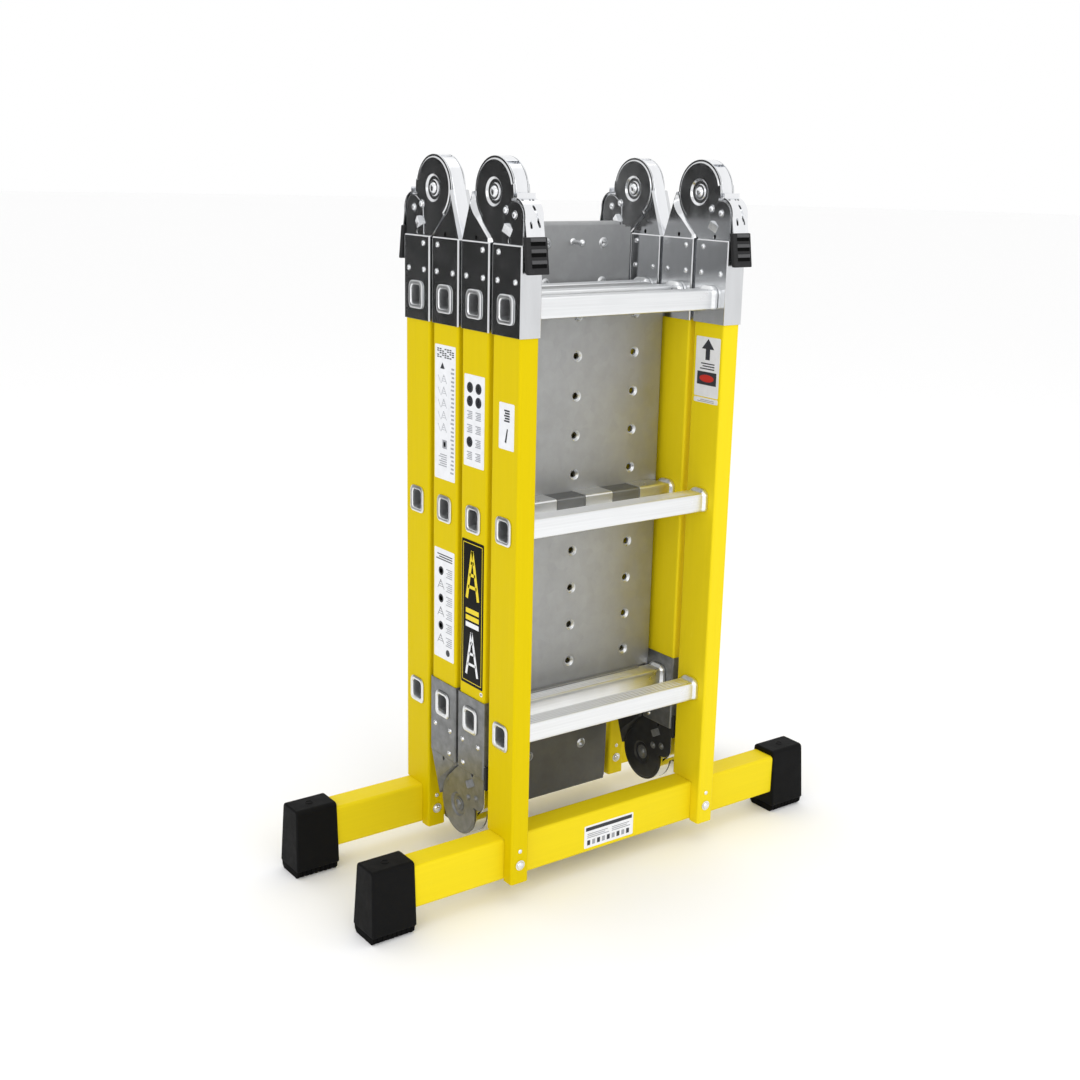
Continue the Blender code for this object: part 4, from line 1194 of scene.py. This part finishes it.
def add_long_plate():
    name = "platform_plate_long"
    bottom_y, top_y, length = 0.0745, 0.0560, 0.8630
    lean = atan2(bottom_y - top_y, length)
    stand = Matrix.Translation((0, bottom_y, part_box(name)[0].z)) @ Matrix.Rotation(lean, 4, "X")
    rows = [0.072 + HOLE_PITCH * i for i in range(15)]
    tray = make_tray(length, 0.008, rows, 0.0042, 0.0050)
    rims = hole_rims(rows, RAISED_RIM)
    neck = [(0, 0.001), (0.0048, 0.001), (0.0048, -0.0008), (0.0030, -0.0016), (0.0027, -0.0170)]
    ball = [(a, -0.0205 - b) for a, b in (polar(0.0046, angle) for angle in range(-50, 90, 14))]
    stud = turned([*neck, *ball, (0, -0.0251)], plane_y, (0.0400, 0.836), 22)
    for mesh in (tray, rims, stud):
        mesh.transform(stand)
    # Painted shade darkens this sheet towards its foot.
    piece(f"{name}_sheet", tray, "plate_worn", "long_plate", replaces=(name,))
    piece(f"{name}_rims", rims, "plate_rim", "long_plate")
    piece(f"{name}_stud", stud, "hook", "long_plate")


# ---- labels

FILM = 0.00025
INK = 0.00012


class Label:
    """Thin printed film on a flat face; marks are placed by shares of its width and height."""

    def __init__(self, name, body, plane, corner, size, look="label"):
        self.name, self.body, self.plane = name, body, plane
        self.corner, self.size = corner, size
        self.marks = {}
        middle = (corner[0] + size[0] / 2, corner[1] + size[1] / 2)
        film = prism(rounded(*size, 0.0018, middle, 30), 0, FILM, plane)
        piece(name, film, look, body)

    def placed(self, outline):
        return [(self.corner[0] + a * self.size[0], self.corner[1] + b * self.size[1]) for a, b in outline]

    def add(self, outline, look="ink"):
        self.marks.setdefault(look, []).append(prism(self.placed(outline), FILM, FILM + INK, self.plane))

    def block(self, left, low, right, high, look="ink"):
        self.add(box_outline(left, low, right, high), look)

    def stroke(self, start, end, thickness, look="ink"):
        """Straight line between two points; thickness is in metres."""
        a = Vector((start[0] * self.size[0], start[1] * self.size[1]))
        b = Vector((end[0] * self.size[0], end[1] * self.size[1]))
        side = Vector((a.y - b.y, b.x - a.x)).normalized() * thickness / 2
        corners = (a + side, a - side, b - side, b + side)
        self.add([(c.x / self.size[0], c.y / self.size[1]) for c in corners], look)

    def disc(self, across, up, radius, look="ink"):
        """Round spot; radius is in metres."""
        spot = [polar(radius, 20 * i) for i in range(18)]
        self.add([(across + a / self.size[0], up + b / self.size[1]) for a, b in spot], look)

    def lines(self, left, right, low, high, count, look="ink_pale", fill=0.45):
        """Rows standing for text, of uneven length, with no lettering."""
        pitch = (high - low) / count
        for row in range(count):
            short = (0.0, 0.18, 0.06, 0.30)[row % 4] * (right - left)
            start = low + row * pitch
            self.block(left, start, right - short, start + pitch * fill, look)

    def ladder(self, left, low, right, high, look="ink", thickness=0.0007):
        """Small pictogram of a leaning ladder with its support."""
        top = (left * 0.45 + right * 0.55, high)
        for foot in (left, right):
            self.stroke((foot, low), top, thickness, look)
        for share in (0.25, 0.5, 0.75):
            a = (left + (top[0] - left) * share, low + (high - low) * share)
            b = (right + (top[0] - right) * share, low + (high - low) * share)
            self.stroke(a, b, thickness * 0.8, look)

    def finish(self):
        for look, meshes in self.marks.items():
            piece(f"{self.name}_{look}", gathered(meshes), look, self.body)


def on_left_face(y, z, depth):
    return (-RAIL_FACE_X - depth, y, z)


def on_right_inner_face(y, z, depth):
    return (RAIL_X - RAIL_HALF_WIDTH - depth, y, z)


def rail_label(name, body, corner, size, look="label", plane=on_left_face):
    """Label on a rail's face; its corner is measured from the rail's middle and the floor."""
    return Label(name, body, plane, (SECTION_Y[body] + corner[0], corner[1]), size, look)


def add_instructions():
    tall = rail_label("label_instructions", "mid_rear", (-0.025, 0.556), (0.050, 0.180))
    for row in range(5):
        up = 0.905 + 0.015 * row
        for column in range(7):
            if (row * 3 + column * 5) % 4:
                tall.block(0.08 + 0.12 * column, up, 0.17 + 0.12 * column, 0.914 + 0.015 * row)
    tall.add([(0.52, 0.825), (0.74, 0.825), (0.63, 0.872)])
    tall.lines(0.06, 0.22, 0.06, 0.86, 26)
    for row in range(5):
        low = 0.36 + 0.09 * row
        tall.ladder(0.42, low, 0.68, low + 0.065, "ink_pale")
        tall.stroke((0.72, low), (0.84, low + 0.055), 0.0006, "ink_pale")
    tall.block(0.40, 0.235, 0.62, 0.30, "ink_pale")
    tall.block(0.46, 0.25, 0.56, 0.285, "label")
    tall.lines(0.40, 0.80, 0.10, 0.20, 6)
    tall.finish()


def add_pictograms():
    icons = rail_label("label_pictograms", "mid_front", (-0.0235, 0.586), (0.047, 0.120))
    for row in range(6):
        up = 0.86 - 0.148 * row
        for across in (0.30, 0.72):
            if row in (0, 1) or (row == 4 and across > 0.5):
                icons.disc(across, up, 0.0070)
                icons.ladder(across - 0.07, up - 0.04, across + 0.07, up + 0.04, "label", 0.0008)
            else:
                icons.lines(across - 0.13, across + 0.13, up - 0.045, up + 0.05, 5, "ink_pale", 0.6)
    icons.finish()


def add_rating():
    small = rail_label("label_rating", "front", (-0.0195, 0.622), (0.033, 0.059))
    for row in range(5):
        small.block(0.30, 0.60 + 0.055 * row, 0.66 - 0.05 * (row % 2), 0.635 + 0.055 * row)
    small.add([(0.50, 0.14), (0.60, 0.16), (0.46, 0.46), (0.40, 0.44)])
    small.finish()


def add_warnings():
    lower = rail_label("label_warnings", "mid_rear", (-0.025, 0.302), (0.050, 0.157))
    lower.lines(0.10, 0.90, 0.90, 0.965, 3, "ink")
    for row in range(6):
        up = 0.80 - 0.125 * row
        if row % 2:
            lower.ladder(0.50, up - 0.035, 0.82, up + 0.045, "ink")
        else:
            lower.disc(0.66, up, 0.0062)
            lower.disc(0.66, up, 0.0036, "label")
        lower.lines(0.10, 0.40, up - 0.045, up + 0.045, 5)
    lower.disc(0.30, 0.07, 0.0048)
    lower.finish()


def add_black_panel():
    black = rail_label("label_black_panel", "mid_front", (-0.026, 0.285), (0.052, 0.202), "label_black")
    corners = box_outline(0.07, 0.022, 0.93, 0.978)
    for start, end in zip(corners, corners[1:] + corners[:1]):
        black.stroke(start, end, 0.0009, "ink_yellow")
    black.ladder(0.24, 0.60, 0.76, 0.93, "ink_yellow", 0.0056)
    for row, look in enumerate(("ink_yellow", "ink_yellow", "label")):
        black.block(0.20, 0.50 - 0.048 * row, 0.80, 0.533 - 0.048 * row, look)
    black.ladder(0.24, 0.07, 0.76, 0.37, "label", 0.0046)
    black.finish()
    dot = rail_label("label_small_dot", "mid_front", (-0.026, 0.2765), (0.006, 0.0055))
    dot.disc(0.5, 0.5, 0.0014)
    dot.finish()


def add_arrow():
    name, face = "label_this_way_up", on_right_inner_face
    arrow = rail_label(name, "front", (-0.025, 0.662), (0.048, 0.082), plane=face)
    shaft = [(0.41, 0.80), (0.41, 0.62), (0.59, 0.62), (0.59, 0.80)]
    arrow.add([(0.50, 0.97), (0.24, 0.80), *shaft, (0.76, 0.80)])
    arrow.lines(0.20, 0.80, 0.46, 0.59, 3, "ink")
    arrow.block(0.10, 0.20, 0.90, 0.42)
    arrow.finish()
    oval = [(0.50 + 0.30 * a, 0.31 + 0.062 * b) for a, b in (polar(1.0, 20 * i) for i in range(18))]
    raised = lambda a, b, depth: face(a, b, depth + INK)
    piece(f"{name}_oval", prism(arrow.placed(oval), FILM, FILM + INK, raised), "ink_red", "front")
    tail = rail_label(f"{name}_foot", "front", (-0.025, 0.6535), (0.048, 0.007), plane=face)
    tail.lines(0.15, 0.85, 0.2, 0.8, 2)
    tail.finish()


def add_bar_label():
    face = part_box("front_bar")[0].y
    on_bar = lambda x, z, depth: (x, face - depth, z)
    plain = Label("label_bar", "front", on_bar, (-0.044, 0.039), (0.088, 0.034))
    plain.block(0.03, 0.76, 0.97, 0.92)
    plain.lines(0.06, 0.50, 0.44, 0.68, 3)
    plain.lines(0.56, 0.94, 0.44, 0.68, 3)
    for column in range(9):
        left = 0.10 * column
        plain.block(0.06 + left, 0.12, 0.12 + left, 0.34, "ink_pale" if column % 2 else "ink")
    plain.finish()


def add_labels():
    add_instructions()
    add_pictograms()
    add_rating()
    add_warnings()
    add_black_panel()
    add_arrow()
    add_bar_label()


# ---- scene


FLOOR_RADIUS = 30.0
DARK_CARDS = (("dark_card_wide", -2.6, 0.0, -0.72, 1.25), ("dark_card_upper", -0.70, 0.52, -0.56, 1.25))
LIGHTS = (
    ("key", (-0.4, -3.6, 2.3), (0.0, 0.0, 0.45), (2.6, 2.2), 26.0),
    ("fill", (-2.6, -1.9, 1.7), (0.1, 0.0, 0.5), (1.8, 1.8), 12.5),
    ("top", (0.2, 0.3, 3.4), (0.0, 0.0, 0.4), (3.0, 3.0), 10.0),
)
CAMERA_PLACE = (-1.1907, -1.5618, 0.9814)
CAMERA_ANGLES = (36.2256, 15.022, 1.2658)
CAMERA_LENS = 48.08


def stage_material(name, tone):
    material = bpy.data.materials.new(name)
    material.use_nodes = True
    shader = material.node_tree.nodes["Principled BSDF"]
    shader.inputs["Base Color"].default_value = (*even(tone), 1.0)
    shader.inputs["Roughness"].default_value = 0.9
    return material


def add_floor():
    shape = bmesh.new()
    bmesh.ops.create_circle(shape, cap_ends=True, segments=96, radius=FLOOR_RADIUS)
    mesh = bpy.data.meshes.new("floor")
    shape.to_mesh(mesh)
    shape.free()
    floor = linked("floor", mesh)
    mesh.materials.append(stage_material("floor_white", 0.975))


def add_dark_cards():
    """Dark studio cards behind the left side, out of view, which the hinges' left faces reflect."""
    black = stage_material("card_black", 0.01)
    for name, *edges in DARK_CARDS:
        card = linked(name, prism(box_outline(*edges), 1.15, 1.17, plane_y))
        card.data.materials.append(black)
        card.visible_camera = False
        card.visible_diffuse = False
        card.visible_shadow = False


def add_lights():
    world = bpy.data.worlds.new("studio")
    bpy.context.scene.world = world
    world.use_nodes = True
    background = world.node_tree.nodes["Background"]
    background.inputs["Color"].default_value = (1.0, 1.0, 1.0, 1.0)
    background.inputs["Strength"].default_value = 1.0
    for name, place, target, size, power in LIGHTS:
        light = bpy.data.lights.new(name, "AREA")
        light.shape = "RECTANGLE"
        light.size, light.size_y = size
        light.energy = power
        obj = linked(name, light)
        obj.location = place
        obj.rotation_mode = "QUATERNION"
        obj.rotation_quaternion = (Vector(target) - Vector(place)).to_track_quat("-Z", "Y")


def add_camera():
    """Camera at the reference view: a little to the left of the ladder's front, and above it."""
    data = bpy.data.cameras.new("camera")
    data.sensor_width = 36.0
    data.lens = CAMERA_LENS
    camera = linked("camera", data)
    turn, down, roll = (radians(a) for a in CAMERA_ANGLES)
    look = Vector((sin(turn) * cos(down), cos(turn) * cos(down), -sin(down)))
    flat = Vector((cos(turn), -sin(turn), 0.0))
    rise = flat.cross(look)
    right = flat * cos(roll) + rise * sin(roll)
    up = rise * cos(roll) - flat * sin(roll)
    axes = Matrix((right, up, -look)).transposed()
    camera.matrix_world = Matrix.Translation(CAMERA_PLACE) @ axes.to_4x4()
    bpy.context.scene.camera = camera


def main():
    add_camera()
    add_rails()
    add_bars()
    add_boots()
    add_rungs()
    for name in HINGES:
        add_hinge(name)
    add_short_plate()
    add_long_plate()
    add_labels()
    add_floor()
    add_dark_cards()
    add_lights()
    bpy.context.scene.view_settings.view_transform = "Standard"


main()
